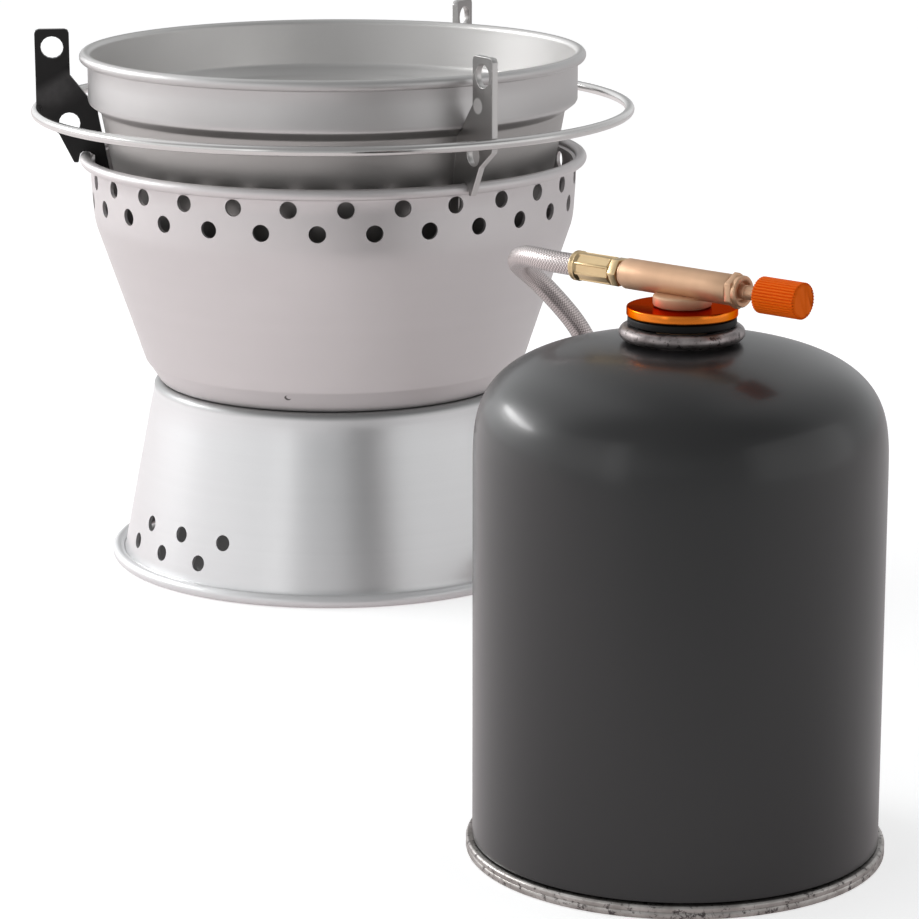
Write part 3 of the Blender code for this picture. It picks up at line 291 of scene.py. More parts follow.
shown = add_node(ground, "MixShader", outside, sheet.outputs["BSDF"], glowing)
ground.links.new(shown, ground.nodes["Material Output"].inputs["Surface"])
floor_mesh.materials.append(floor_paper)
print("floor laid")

# %% [markdown]
# ## Patterns that several finishes share
# Each pattern is a node group with named inputs, built once. Spun metal carries fine rings
# round its axis, where the tool pressed it down turn by turn. A wave texture could draw
# them, but evenly; a noise that depends only on the distance from the axis and on the
# height gives rings as uneven as real ones.

# %% Turned rings


def node_group(name, numbers, results):
    """A node group that reads a vector and some numbers, and the sockets at its start and end."""
    group = bpy.data.node_groups.new(name, "ShaderNodeTree")
    group.interface.new_socket("Vector", in_out="INPUT", socket_type="NodeSocketVector")
    for label, value in numbers.items():
        socket = group.interface.new_socket(label, in_out="INPUT", socket_type="NodeSocketFloat")
        socket.default_value = value
    for label in results:
        group.interface.new_socket(label, in_out="OUTPUT", socket_type="NodeSocketFloat")
    start = group.nodes.new("NodeGroupInput")
    end = group.nodes.new("NodeGroupOutput")
    print("pattern:", name)
    return group, start.outputs, end.inputs


rings, rings_in, rings_out = node_group("turned_rings", {"Scale": 900.0}, ["Height", "Broad"])
flat_place = vector_maths(rings, "MULTIPLY", rings_in["Vector"], (1.0, 1.0, 0.0))
from_axis = vector_maths(rings, "LENGTH", flat_place, output="Value")
across = add_node(rings, "CombineXYZ", from_axis, 0.0, part(rings, "Z", rings_in["Vector"]))
fine_rings = add_node(rings, "TexNoise", across, None, rings_in["Scale"], 3.0, 0.65)
broad_scale = maths(rings, "MULTIPLY", rings_in["Scale"], 0.12)
broad_rings = add_node(rings, "TexNoise", across, None, broad_scale, 1.0)
rings.links.new(fine_rings, rings_out["Height"])
rings.links.new(broad_rings, rings_out["Broad"])

# %% [markdown]
# Every surface has faint smudges, which make its gloss uneven, and worn metal has dark
# flecks, left where a noise stays under a small amount.

# %% Smudges
smudges, smudges_in, smudges_out = node_group(
    "smudges", {"Scale": 30.0, "Low": 0.3, "High": 0.4}, ["Value"]
)
cloud = add_node(smudges, "TexNoise", smudges_in["Vector"], None, smudges_in["Scale"], 4.0, 0.55)
spread = ramp(smudges, cloud, 0.32, 0.68, smudges_in["Low"], smudges_in["High"], how="LINEAR")
smudges.links.new(spread, smudges_out["Value"])

# %% Flecks
FLECK_EDGE = 14.0
flecks, flecks_in, flecks_out = node_group("flecks", {"Scale": 600.0, "Amount": 0.35}, ["Mask"])
grains = add_node(flecks, "TexNoise", flecks_in["Vector"], None, flecks_in["Scale"], 5.0, 0.7)
over = maths(flecks, "SUBTRACT", flecks_in["Amount"], grains)
flecks.links.new(maths(flecks, "MULTIPLY", over, FLECK_EDGE, clamp=True), flecks_out["Mask"])

# %% [markdown]
# ## Finishes
# One class sets up a shader and places the shared patterns. What is the same all over a
# surface is set on the shader's own sockets, and only what changes over it comes from
# nodes. Patterns read Object coordinates, moved so that their centre is the piece's axis.

# %% Finish class


class Finish:
    """A material under construction, with short ways to colour, roughen and emboss it."""

    def __init__(self, name, colour, roughness, metallic, centre=(0, 0, 0), turn=(0, 0, 0)):
        self.material = bpy.data.materials.new(name)
        self.material.use_nodes = True
        self.material.diffuse_color = (*colour, 1.0)
        self.tree = self.material.node_tree
        self.inputs = self.tree.nodes["Principled BSDF"].inputs
        self.set("Base Color", (*colour, 1.0))
        self.set("Roughness", roughness)
        self.set("Metallic", metallic)
        place = add_node(self.tree, "TexCoord", output="Object")
        self.vector = add_node(self.tree, "Mapping", place, centre, turn, vector_type="TEXTURE")
        print("finish:", name)

    def set(self, name, value):
        """Gives one of the shader's sockets a plain value, or another node's socket."""
        if isinstance(value, bpy.types.NodeSocket):
            self.tree.links.new(value, self.inputs[name])
        else:
            self.inputs[name].default_value = value

    def now(self, name):
        """What one of the shader's sockets has so far."""
        links = self.inputs[name].links
        return links[0].from_socket if links else self.inputs[name].default_value

    def group(self, group, **values):
        """The outputs of a shared pattern laid on this finish."""
        made = self.tree.nodes.new("ShaderNodeGroup")
        made.node_tree = group
        self.tree.links.new(self.vector, made.inputs["Vector"])
        for name, value in values.items():
            made.inputs[name].default_value = value
        return made.outputs

    def cover(self, mask, colour):
        """Covers the base colour with another one where a mask is 1."""
        made = self.tree.nodes.new("ShaderNodeMix")
        made.data_type = "RGBA"
        self.tree.links.new(mask, made.inputs["Factor"])
        under, above = [s for s in made.inputs if s.type == "RGBA"]
        before = self.now("Base Color")
        if isinstance(before, bpy.types.NodeSocket):
            self.tree.links.new(before, under)
        else:
            under.default_value = before
        above.default_value = (*colour, 1.0)
        self.set("Base Color", next(s for s in made.outputs if s.type == "RGBA"))

    def wander(self, scale, low, high):
        """Lets the roughness wander between two values."""
        self.set("Roughness", self.group(smudges, Scale=scale, Low=low, High=high)["Value"])

    def bump(self, height, strength, distance):
        """Adds relief, with its distance in millimetres, to any that is there."""
        made = self.tree.nodes.new("ShaderNodeBump")
        made.inputs["Strength"].default_value = strength
        made.inputs["Distance"].default_value = distance * MM
        self.tree.links.new(height, made.inputs["Height"])
        for link in self.inputs["Normal"].links:
            self.tree.links.new(link.from_socket, made.inputs["Normal"])
        self.set("Normal", made.outputs["Normal"])

    def grain(self, scale, strength, distance):
        """Adds a fine grain in relief."""
        self.bump(self.group(smudges, Scale=scale, Low=0.0, High=1.0)["Value"], strength, distance)

    def height(self, low, high, at_low, at_high):
        """A value that changes between two heights, in millimetres."""
        up = part(self.tree, "Z", self.vector)
        return ramp(self.tree, up, low * MM, high * MM, at_low, at_high)

    def spot(self, where, inner, outer, inside, outside):
        """A value round a point, in millimetres: one inside, another outside."""
        away = vector_maths(self.tree, "DISTANCE", self.vector, Vector(where) * MM, output="Value")
        return ramp(self.tree, away, inner * MM, outer * MM, inside, outside)


# %% [markdown]
# Spun aluminium has a satin gloss: its fine rings smear what it reflects up and down.
# Anisotropic gloss could do that; relief in fine rings also leaves the edges of the
# reflections uneven, as they are on the real sheet. The lower windshield is brighter,
# rougher at its lip and foot, with painted shade on the ledge on top, under the upper
# windshield's corner. The upper one has the shade of a small dent painted near its foot:
# a crescent, a small spot with another taken out of it.

# %% Spun aluminium


def spun_metal(
    name, colour, shade, rough, centre, scale=900.0, relief=0.22, depth=0.03, turn=(0, 0, 0)
):
    """Turned or spun metal: rings in relief and in tone, and a roughness that wanders a little."""
    darker = [c * shade for c in colour]
    made = Finish(name, darker, sum(rough) / 2, 1.0, centre, turn)
    ring = made.group(rings, Scale=scale)
    made.cover(ring["Broad"], colour)
    made.wander(22.0, *rough)
    made.bump(ring["Height"], relief, depth)
    return made


bright_sheet = spun_metal(
    "bright_aluminium", (0.75, 0.75, 0.755), 0.97, (0.28, 0.32), COOKER, 4200.0, 0.60, 0.04
)
bright_sheet.set("Metallic", 0.72)
# Painted shade: the ledge on top is darker, where the upper windshield's corner shades it.
bright_sheet.cover(bright_sheet.height(60.6, 62.8, 0.0, 1.0), (0.32, 0.32, 0.32))
rough_lip = bright_sheet.height(57.5, 60.0, 0.0, 0.12)
rough_foot = bright_sheet.height(3.6, 5.0, 0.12, 0.0)
rough_ends = maths(bright_sheet.tree, "ADD", rough_lip, rough_foot)
rough_wall = bright_sheet.now("Roughness")
bright_sheet.set("Roughness", maths(bright_sheet.tree, "ADD", rough_wall, rough_ends))

# %% Duller sheet with a dent's painted shade
dull_sheet = spun_metal("spun_aluminium", (0.655, 0.632, 0.632), 0.95, (0.46, 0.54), COOKER)
# Painted shade of a small dent: a dark crescent, a spot with a smaller one taken out.
dent_shade = dull_sheet.spot((-14.0, -63.8, 69.0), 1.0, 1.35, 1.0, 0.0)
dent_lit_part = dull_sheet.spot((-13.5, -63.9, 69.5), 0.75, 1.05, 0.0, 1.0)
dull_sheet.cover(maths(dull_sheet.tree, "MULTIPLY", dent_shade, dent_lit_part), (0.14, 0.13, 0.13))

# %% [markdown]
# The pot has painted shade below its step, where the band and the ring shade it, and
# painted light inside. Several materials could do that, but one finish keeps the pot in
# one slot. It tells the outside by its height, and the inside by where the surface faces:
# the axis, or up.

# %% Pan
pan_sheet = spun_metal("pan_aluminium", (0.585, 0.576, 0.572), 0.95, (0.42, 0.50), COOKER)
# Painted shade: the outside is darker below the step.
pan_sheet.cover(pan_sheet.height(160.0, 161.6, 1.0, 0.0), (0.41, 0.40, 0.39))
flat_place = vector_maths(pan_sheet.tree, "MULTIPLY", pan_sheet.vector, (1.0, 1.0, 0.0))
outwards = vector_maths(pan_sheet.tree, "NORMALIZE", flat_place)
out_and_down = vector_maths(pan_sheet.tree, "ADD", outwards, (0.0, 0.0, -0.6))
normal = add_node(pan_sheet.tree, "TexCoord", output="Normal")
facing_out = vector_maths(pan_sheet.tree, "DOT_PRODUCT", normal, out_and_down, output="Value")
# Painted light: the inside, which faces the axis or up, is lighter.
pan_sheet.cover(ramp(pan_sheet.tree, facing_out, -0.15, 0.15, 1.0, 0.0), (0.63, 0.62, 0.61))

# %% [markdown]
# The ring is bright drawn wire. The plates are punched from steel sheet: their faces are
# dull and their cut edges brighter. The finish knows an edge by its normal, which doesn't
# point across the plate.

# %% Wire, plates and burner steel
wire = Finish("bright_wire", (0.62, 0.61, 0.60), 0.16, 1.0)
wire.wander(70.0, 0.11, 0.24)
wire.cover(wire.group(flecks, Scale=800.0, Amount=0.32)["Mask"], (0.40, 0.39, 0.38))


def plate_steel(name, azimuth):
    """Steel for a plate that stands out from the cooker: dull faces, brighter cut edges."""
    made = Finish(name, (0.31, 0.303, 0.297), 0.34, 1.0)
    made.wander(60.0, 0.30, 0.40)
    made.cover(made.group(flecks, Scale=900.0, Amount=0.34)["Mask"], (0.19, 0.185, 0.18))
    turn = math.radians(azimuth)
    across_plate = (math.cos(turn), math.sin(turn), 0.0)
    normal = add_node(made.tree, "TexCoord", output="Normal")
    facing = vector_maths(made.tree, "DOT_PRODUCT", normal, across_plate, output="Value")
    cut_edge = ramp(made.tree, maths(made.tree, "ABSOLUTE", facing), 0.80, 0.97, 1.0, 0.0)
    made.cover(cut_edge, (0.55, 0.54, 0.53))
    return made


right_steel = plate_steel("right_plate_steel", 32.5)
# Painted highlight: a light round spot on the face of the right plate, a reflection painted in.
right_steel.cover(right_steel.spot((23.2, 52.7, 169.8), 2.5, 3.2, 1.0, 0.0), (0.80, 0.79, 0.78))
steel = Finish("burner_steel", (0.42, 0.41, 0.40), 0.32, 1.0)
steel.wander(60.0, 0.29, 0.38)
steel.cover(steel.group(flecks, Scale=900.0, Amount=0.30)["Mask"], (0.28, 0.27, 0.26))

# %% [markdown]
# The left support is black, with a grey sheen painted in patches below its fold, where
# the bend catches the light. The finish measures how far a point lies past the fold, so
# the painted sheen follows it. The fold's line and the way up from it are needed here,
# and again when the plate is bent.

# %% Black steel
FOLD_TURN = math.radians(-87.5)
fold_out = Vector((math.sin(FOLD_TURN), -math.cos(FOLD_TURN), 0.0))
fold_start = COOKER + fold_out * 104.7 * MM + Vector((0, 0, 162.7 * MM))
fold_end = COOKER + fold_out * 92.5 * MM + Vector((0, 0, 169.8 * MM))
fold_side = Vector((-fold_out.y, fold_out.x, 0.0))
fold_up = (fold_end - fold_start).cross(fold_side).normalized()
if fold_up.z < 0:
    fold_up.negate()
black_steel = Finish("black_steel", (0.008, 0.0072, 0.0072), 0.30, 0.0)
black_steel.set("Specular IOR Level", 0.3)
black_steel.wander(90.0, 0.28, 0.40)
black_steel.grain(1400.0, 0.10, 0.02)
upwards = vector_maths(black_steel.tree, "DOT_PRODUCT", black_steel.vector, fold_up, output="Value")
past_fold = maths(black_steel.tree, "SUBTRACT", upwards, fold_start.dot(fold_up))
# Painted sheen: grey patches in a band just below the fold, where the bend catches the light.
below = ramp(black_steel.tree, past_fold, -1.0 * MM, 2.5 * MM, 1.0, 0.0)
fading = ramp(black_steel.tree, past_fold, -11.0 * MM, -1.5 * MM, 0.0, 1.0)
sheen_patches = black_steel.group(smudges, Scale=110.0, Low=0.4, High=1.0)["Value"]
painted_sheen_band = maths(black_steel.tree, "MULTIPLY", below, fading)
black_steel.cover(maths(black_steel.tree, "MULTIPLY", painted_sheen_band, sheen_patches), (0.085, 0.080, 0.080))

# %% [markdown]
# The valve and the hose's ends are turned from bronze and brass, so their rings run round
# the barrel's axis. The disc is aluminium under an orange dye, so it stays a metal, and
# its Specular Tint keeps the edges of its reflections orange. The knob is matt plastic.

# %% Brass, bronze and orange
BARREL = CANISTER + Vector((0, 0, BARREL_Z))
ALONG_BARREL = (0.0, math.pi / 2, -VALVE_TURN)
brass = spun_metal(
    "brass", (0.73, 0.55, 0.315), 0.86, (0.28, 0.34), BARREL, 2200.0, 0.20, turn=ALONG_BARREL
)
bronze = spun_metal(
    "bronze", (0.71, 0.455, 0.29), 0.84, (0.46, 0.54), BARREL, 1800.0, 0.40, turn=ALONG_BARREL
)
bronze.set("Metallic", 0.72)
bronze.grain(700.0, 0.30, 0.03)
anodised = Finish("orange_anodised", (0.80, 0.21, 0.025), 0.18, 1.0, CANISTER)
anodised.set("Specular Tint", (0.75, 0.26, 0.08, 1.0))
anodised.bump(anodised.group(rings, Scale=1500.0)["Height"], 0.20, 0.03)
# Painted light and shade: the rim keeps a lighter orange than the top face, for its brighter
# reflections.
anodised.cover(anodised.height(149.45, 149.58, 0.0, 1.0), (0.50, 0.060, 0.010))
knob_orange = Finish("orange_knob", (0.88, 0.14, 0.005), 0.50, 0.0)
knob_orange.set("Specular IOR Level", 0.06)
knob_orange.wander(200.0, 0.42, 0.56)
knob_orange.grain(2500.0, 0.10, 0.02)

# %% [markdown]
# The canister's paint is dark and half glossy: a rough base under a thin coat, with a few
# lighter flecks. Its seam and collar are bare tinned steel, mottled and worn.

# %% Rubber, paint and tinned steel
rubber = Finish("black_rubber", (0.005, 0.005, 0.005), 0.60, 0.0)
rubber.set("Specular IOR Level", 0.2)
rubber.wander(150.0, 0.45, 0.65)
paint = Finish("charcoal_paint", (0.013, 0.013, 0.0135), 0.36, 0.0, CANISTER)
paint.set("Specular IOR Level", 0.45)
paint.set("Coat Weight", 0.35)
paint.set("Coat Roughness", 0.15)
paint.wander(14.0, 0.33, 0.39)
paint.cover(paint.group(flecks, Scale=420.0, Amount=0.22)["Mask"], (0.07, 0.07, 0.07))
paint.grain(900.0, 0.04, 0.02)


def tinned(name, light, dark, rough, marks):
    """Bare tinned sheet: a mottled tone with small dark marks."""
    made = Finish(name, light, sum(rough) / 2, 1.0, CANISTER)
    made.wander(120.0, *rough)
    made.cover(made.group(smudges, Scale=170.0, Low=0.0, High=1.0)["Value"], dark)
    worn = made.group(flecks, Scale=520.0, Amount=marks)["Mask"]
    made.cover(worn, (0.09, 0.08, 0.08))
    made.bump(worn, 0.25, 0.03)
    return made


seam_tin = tinned("seam_tin", (0.52, 0.50, 0.48), (0.30, 0.28, 0.265), (0.29, 0.40), 0.455)
collar_tin = tinned("collar_tin", (0.44, 0.40, 0.395), (0.14, 0.12, 0.12), (0.34, 0.50), 0.45)

# %% [markdown]
# ## Turned pieces
# Most of this object is turned or spun, so one helper makes such a piece: it draws half
# the outline in the plane through the axis, spins it round, merges the seam, and moves
# the mesh to its axis. A Screw modifier could spin it too, but a finished mesh can be cut
# at once. The object itself stays at the origin, as the frame's nodes do.

# %% Helpers for turned pieces
FINE = 160


def arc(centre, radius, start, end, count):
    """Points of an arc in the plane of radius and height; angles in degrees from outwards."""
    turns = np.radians(np.linspace(start, end, count))
    return [(centre[0] + radius * math.cos(a), centre[1] + radius * math.sin(a)) for a in turns]


def finish_piece(name, bm, finish, body, stands_for=(), place=None, sharp=35.0):
    """Puts a bmesh in place as an object at the origin, smooth between its sharp edges."""
    bmesh.ops.remove_doubles(bm, verts=bm.verts, dist=1e-7)
    bmesh.ops.recalc_face_normals(bm, faces=bm.faces)
    if place is not None:
        bmesh.ops.transform(bm, matrix=place, verts=bm.verts)
    mesh = bpy.data.meshes.new(name)
    bm.to_mesh(mesh)
    bm.free()
    mesh.materials.append(finish.material)
    mesh.shade_smooth()
    mesh.set_sharp_from_angle(angle=math.radians(sharp))
    made = bpy.data.objects.new(name, mesh)
    scene.collection.objects.link(made)
    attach(made, body)
    if stands_for:
        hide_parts(*stands_for)
    print(f"{name}: {len(mesh.polygons)} faces")
    return made


def keep_flat(piece, area):
    """Makes faces above an area, in square millimetres, flat to their edges."""
    for polygon in piece.data.polygons:
        if polygon.area > area * MM * MM:
            polygon.use_smooth = False


def spun(outline, steps=FINE):
    """A bmesh of a closed half outline, in millimetres, spun round local Z."""
    bm = bmesh.new()
    points = [bm.verts.new((r * MM, 0.0, z * MM)) for r, z in outline]
    edges = [bm.edges.new(pair) for pair in zip(points, points[1:])]
    if outline[0][0] > 1e-6 or outline[-1][0] > 1e-6:
        edges.append(bm.edges.new((points[-1], points[0])))
    bmesh.ops.spin(
        bm,
        geom=points + edges,
        cent=(0, 0, 0),
        axis=(0, 0, 1),
        angle=2 * math.pi,
        steps=steps,
        use_merge=True,
    )
    return bm


def turned(name, outline, finish, body, stands_for, place, steps=FINE):
    """Spins an outline and puts it in place as a piece."""
    return finish_piece(name, spun(outline, steps), finish, body, stands_for, place)


AT_COOKER = Matrix.Translation(COOKER)
AT_CANISTER = Matrix.Translation(CANISTER)


def cutter(name, placed, sides):
    """A mesh of rods that a Boolean takes away; each is (matrix, radius, length)."""
    bm = bmesh.new()
    for matrix, radius, length in placed:
        bmesh.ops.create_cone(
            bm,
            cap_ends=True,
            segments=sides,
            radius1=radius,
            radius2=radius,
            depth=length,
            matrix=matrix,
        )
    mesh = bpy.data.meshes.new(name)
    bm.to_mesh(mesh)
    bm.free()
    made = bpy.data.objects.new(name, mesh)
    scene.collection.objects.link(made)
    return made


def boolean(piece, tool, operation="DIFFERENCE"):
    """Takes the tool out of the piece, or joins it on, for good, and removes the tool."""
    cut = piece.modifiers.new("cut", "BOOLEAN")
    cut.operation = operation
    cut.solver = "EXACT"
    cut.object = tool
    bpy.context.view_layer.update()
    evaluated = piece.evaluated_get(bpy.context.evaluated_depsgraph_get())
    mesh = bpy.data.meshes.new_from_object(evaluated)
    piece.modifiers.clear()
    old = piece.data
    piece.data = mesh
    mesh.name = old.name
    mesh.shade_smooth()
    mesh.set_sharp_from_angle(angle=math.radians(35.0))
    bpy.data.objects.remove(tool)
    print(f"{piece.name} cut: {len(mesh.polygons)} faces")


def radial(azimuth, distance, height):
    """A place on the cooker with local Z pointing outwards; azimuth 0 faces the camera."""
    spin = Matrix.Rotation(math.radians(azimuth - 90), 4, "Z")
    out = Matrix.Translation((distance * MM, 0, height * MM)) @ Matrix.Rotation(math.pi / 2, 4, "Y")
    return AT_COOKER @ spin @ out


# %% [markdown]
# ## Lower windshield
# A cone spun from bright sheet. Its foot is rolled outwards into a bead, its top turns in
# over a rounded lip to the seat of the upper windshield. The outline follows the sheet
# once round. Six air holes are punched low on the left, in two staggered rows, and an
# opening for the hose faces the canister. The cuts are Booleans, which leave the cone's
# rings of faces whole everywhere else.

# %% Lower windshield
SHEET = 1.2
LOWER_HEIGHT = 63.6
LOWER_FOOT_R = 75.8
LOWER_TOP_R = 63.4
LIP_R = 2.6
ROD_LENGTH = 8.0 * MM


def lower_wall_r(height):
    return LOWER_FOOT_R + height / LOWER_HEIGHT * (LOWER_TOP_R - LOWER_FOOT_R)


lip_z = LOWER_HEIGHT - LIP_R
lip_r = lower_wall_r(lip_z) - LIP_R
outline = [(56.3, LOWER_HEIGHT), (58.5, LOWER_HEIGHT)]
outline += arc((lip_r, lip_z), LIP_R, 90, -8, 10)
outline += [(lower_wall_r(z), z) for z in (52.0, 42.0, 32.0, 22.0, 12.0, 6.0, 3.6)]
outline += [(lower_wall_r(3.1) + 0.15, 3.1)]
outline += arc((77.65, 2.15), 2.15, 162, -84, 20)
outline += [(76.8, 0.0)]
outline += [(lower_wall_r(2.0) - SHEET, 2.2)]
outline += [(lower_wall_r(z) - SHEET, z) for z in (12.0, 22.0, 32.0, 42.0, 52.0)]
outline += arc((lip_r, lip_z), LIP_R - SHEET, -8, 90, 6)
outline += [(57.5, 62.4), (57.5, 57.0), (50.0, 57.0), (50.0, 58.2), (56.3, 58.2)]
lower = turned(
    "windshield_lower", outline, bright_sheet, "base",
    ["lower_windshield"], AT_COOKER,
)
AIR_HOLES = 6
AIR_HOLE_R = 2.7 * MM
FIRST_AIR_HOLE = -68.0
AIR_HOLE_STEP = 7.5
AIR_HOLE_HEIGHTS = (10.2, 18.4)
AIR_HOLE_SIDES = 32
rods = []
for i in range(AIR_HOLES):
    height = AIR_HOLE_HEIGHTS[i % 2]
    place = radial(FIRST_AIR_HOLE + i * AIR_HOLE_STEP, lower_wall_r(height), height)
    rods.append((place, AIR_HOLE_R, ROD_LENGTH))
boolean(lower, cutter("air_holes", rods, AIR_HOLE_SIDES))

# %% The hose's opening
OPENING_DEPTH = 30.0
OPENING_FROM_AXIS = 72.4
opening = bmesh.new()
corner = 5.5
left, right = -9.0, 13.0
low, high = 6.4, 29.0
shape = [(left, low), (right, low)]
shape += arc((right - corner, high - corner), corner, 0, 90, 8)
shape += arc((left + corner, high - corner), corner, 90, 180, 8)
corners = [opening.verts.new((x * MM, -OPENING_DEPTH / 2 * MM, z * MM)) for x, z in shape]
face = opening.faces.new(corners)
moved = bmesh.ops.extrude_face_region(opening, geom=[face])["geom"]
far = [item for item in moved if isinstance(item, bmesh.types.BMVert)]
bmesh.ops.translate(opening, verts=far, vec=(0, OPENING_DEPTH * MM, 0))
bmesh.ops.recalc_face_normals(opening, faces=opening.faces)
middle = Matrix.Translation(COOKER + hose_out * OPENING_FROM_AXIS * MM)
facing = Matrix.Rotation(OPENING_TURN, 4, "Z")
bmesh.ops.transform(opening, matrix=middle @ facing, verts=opening.verts)
opening_mesh = bpy.data.meshes.new("opening")
opening.to_mesh(opening_mesh)
opening.free()
opening_tool = bpy.data.objects.new("opening", opening_mesh)
scene.collection.objects.link(opening_tool)
boolean(lower, opening_tool)

# %% [markdown]
# ## Upper windshield
# Spun from duller sheet. From the top: a bead rolled outwards, an upright band with two
# staggered rows of holes, a cone, and a rounded corner with a faint crease, under which a
# neck drops into the lower windshield. All 56 holes go in with one Boolean: cutting them
# one by one would be slow. Each hole has six steps of the sheet round it, so every hole is
# cut alike. The shade of a small dent near its foot is painted into the finish.

# %% Upper windshield
BEAD_Z = 141.5
HOLES_PER_ROW = 28
UPPER_STEPS = 6 * HOLES_PER_ROW
outline = arc((86.0, BEAD_Z), 1.9, 200, -118, 22)
outline += [(84.3, BEAD_Z - 2.8), (84.2, 134.0), (83.8, 127.5), (83.45, 122.6)]
outline += [(83.2, 120.9), (82.7, 118.6), (81.1, 113.9)]
outline += [(76.5, 100.4), (72.3, 88.2), (69.1, 78.6), (68.3, 76.0)]
outline += [(67.4, 73.4), (66.85, 71.9), (66.6, 71.3), (66.25, 70.8), (65.8, 70.2)]
outline += [(64.8, 68.8), (63.6, 67.0), (62.6, 65.5), (62.0, 64.5), (61.4, 63.95), (60.9, 63.9)]
outline += [(56.0, 63.9)]
outline += [(56.0, 60.3), (54.8, 60.3), (54.8, 65.1), (60.6, 65.1), (61.4, 66.2)]
outline += [(63.9, 69.9), (65.3, 72.3), (66.2, 74.4), (67.1, 76.8)]
outline += [(71.1, 88.6), (75.3, 100.8), (80.0, 114.3), (81.5, 118.9), (82.1, 121.4)]
outline += [(82.7, 128.0), (83.0, 134.0), (83.1, BEAD_Z - 1.0)]
upper = turned(
    "windshield_upper", outline, dull_sheet, "windshield_top",
    ["upper_windshield"], AT_COOKER, steps=UPPER_STEPS,
)
ROW_HOLE_R = 2.9 * MM
ROW_HOLE_SIDES = 28
ROW_FROM_AXIS = 84.0
FIRST_ROW_HOLE = 4.6
ROW_BELOW_BEAD = 5.3
ROW_STEP = 8.0
rods = []
for i in range(2 * HOLES_PER_ROW):
    azimuth = FIRST_ROW_HOLE + i * 180 / HOLES_PER_ROW
    height = BEAD_Z - ROW_BELOW_BEAD - (i % 2) * ROW_STEP
    rods.append((radial(azimuth, ROW_FROM_AXIS, height), ROW_HOLE_R, ROD_LENGTH))
boolean(upper, cutter("air_rows", rods, ROW_HOLE_SIDES))

# %% [markdown]
# ## Pot
# A pan drawn from the same sheet: a rolled rim, an upright band, a step that rests on
# the three supports, and a tapered wall that runs down into the windshield. Its outline
# runs up the outside and down the inside, so the wall has its thickness from the start. A
# Solidify modifier could give it too, but the rolled rim would still have to be drawn.

# %% Pot
POT_STEP_R = 80.4
POT_STEP_Z = 158.4
POT_TAPER = 0.187
POT_FLOOR_Z = 112.0
POT_CORNER = 6.0


def pot_wall_r(height):
    return POT_STEP_R - POT_TAPER * (POT_STEP_Z - height)


corner_z = POT_FLOOR_Z + POT_CORNER
corner_r = pot_wall_r(corner_z) - POT_CORNER
outline = [(0.0, POT_FLOOR_Z)]
outline += arc((corner_r, corner_z), POT_CORNER, -90, -10, 10)
outline += [(pot_wall_r(z), z) for z in (126.0, 136.0, 146.0, 154.0, 157.4)]
outline += [(80.3, 158.0), (80.6, 158.5), (81.2, 159.0), (83.9, 161.0), (84.35, 161.4), (84.6, 162.0)]
outline += [(84.6, 163.0), (84.6, 170.0), (84.6, 175.2)]
outline += arc((85.55, 177.0), 1.9, -118, 190, 20)
outline += [(83.4, 175.4), (83.4, 163.2), (83.1, 162.2), (82.4, 161.5), (79.9, 159.6), (79.2, 158.7)]
outline += [(pot_wall_r(z) - SHEET, z) for z in (157.0, 146.0, 136.0, 126.0)]
outline += arc((corner_r, corner_z), POT_CORNER - SHEET, -10, -90, 8)
outline += [(0.0, POT_FLOOR_Z + SHEET)]
turned("cooking_pan", outline, pan_sheet, "cooking_pot", ["pot"], AT_COOKER)

# %% [markdown]
# ## Ring and supports
# The ring is round wire, a circle spun round the axis like any turned piece. The supports
# are plates: their solids already have the right outline, so a copy of each is merged, its
# flat faces joined, and its edges rounded with a small bevel, which is what catches the
# light on the real ones. The slot that grips the ring closes to the wire. The left plate
# is also bent back a little at its fold, and stays under the height of its solid.

# %% Ring
RING_R = 102.6
RING_Z = 158.4
RING_STEPS = 192
WIRE_R = 1.7
wire_outline = arc((RING_R, RING_Z), WIRE_R, 0, 340, 18)
turned(
    "wire_ring", wire_outline, wire, "pot_support",
    ["support_ring"], AT_COOKER, steps=RING_STEPS,
)

# %% Supports
FOLD_DEGREES = 5.0
FOLD_SPREAD = 3.0
CAD_SLOT_R = 2.0
SLOT_R = WIRE_R + 0.05
ROUND_THE_SLOT = 3.0
PLATE_BEVEL = 0.25


def fold(bm, start, end, upwards, degrees):
    """Bends the part above a line gently back: the line's ends, the way up, the angle."""
    along = (end - start).normalized()
    stops = [FOLD_SPREAD * MM * k / 4 for k in range(5)]
    for stop in stops:
        bmesh.ops.bisect_plane(
            bm,
            geom=list(bm.verts) + list(bm.edges) + list(bm.faces),
            plane_co=start + upwards * stop,
            plane_no=upwards,
        )
    for stop in stops:
        beyond = [v for v in bm.verts if (v.co - start).dot(upwards) > stop + 1e-6]
        turn = Matrix.Rotation(math.radians(degrees / len(stops)), 3, along)
        bmesh.ops.rotate(bm, verts=beyond, cent=start + upwards * stop, matrix=turn)


def from_wire(point):
    """The way to a point from the nearest place on the ring's middle line."""
    out = Vector((point.x - COOKER.x, point.y - COOKER.y, 0.0))
    return point - (COOKER + out.normalized() * RING_R * MM + Vector((0, 0, RING_Z * MM)))


def bevel(bm, edges, width):
    """Rounds edges over a width in millimetres, in two steps."""
    bmesh.ops.bevel(
        bm,
        geom=edges,
        offset=width * MM,
        offset_type="OFFSET",
        segments=2,
        profile=0.5,
        affect="EDGES",
        clamp_overlap=True,
        material=-1,
    )


def is_outer_edge(edge):
    """Whether an edge is a sharp one, away from the slot that grips the ring."""
    if len(edge.link_faces) != 2 or edge.calc_face_angle() <= math.radians(50):
        return False
    middle_of_edge = (edge.verts[0].co + edge.verts[1].co) / 2
    return from_wire(middle_of_edge).length >= ROUND_THE_SLOT * MM


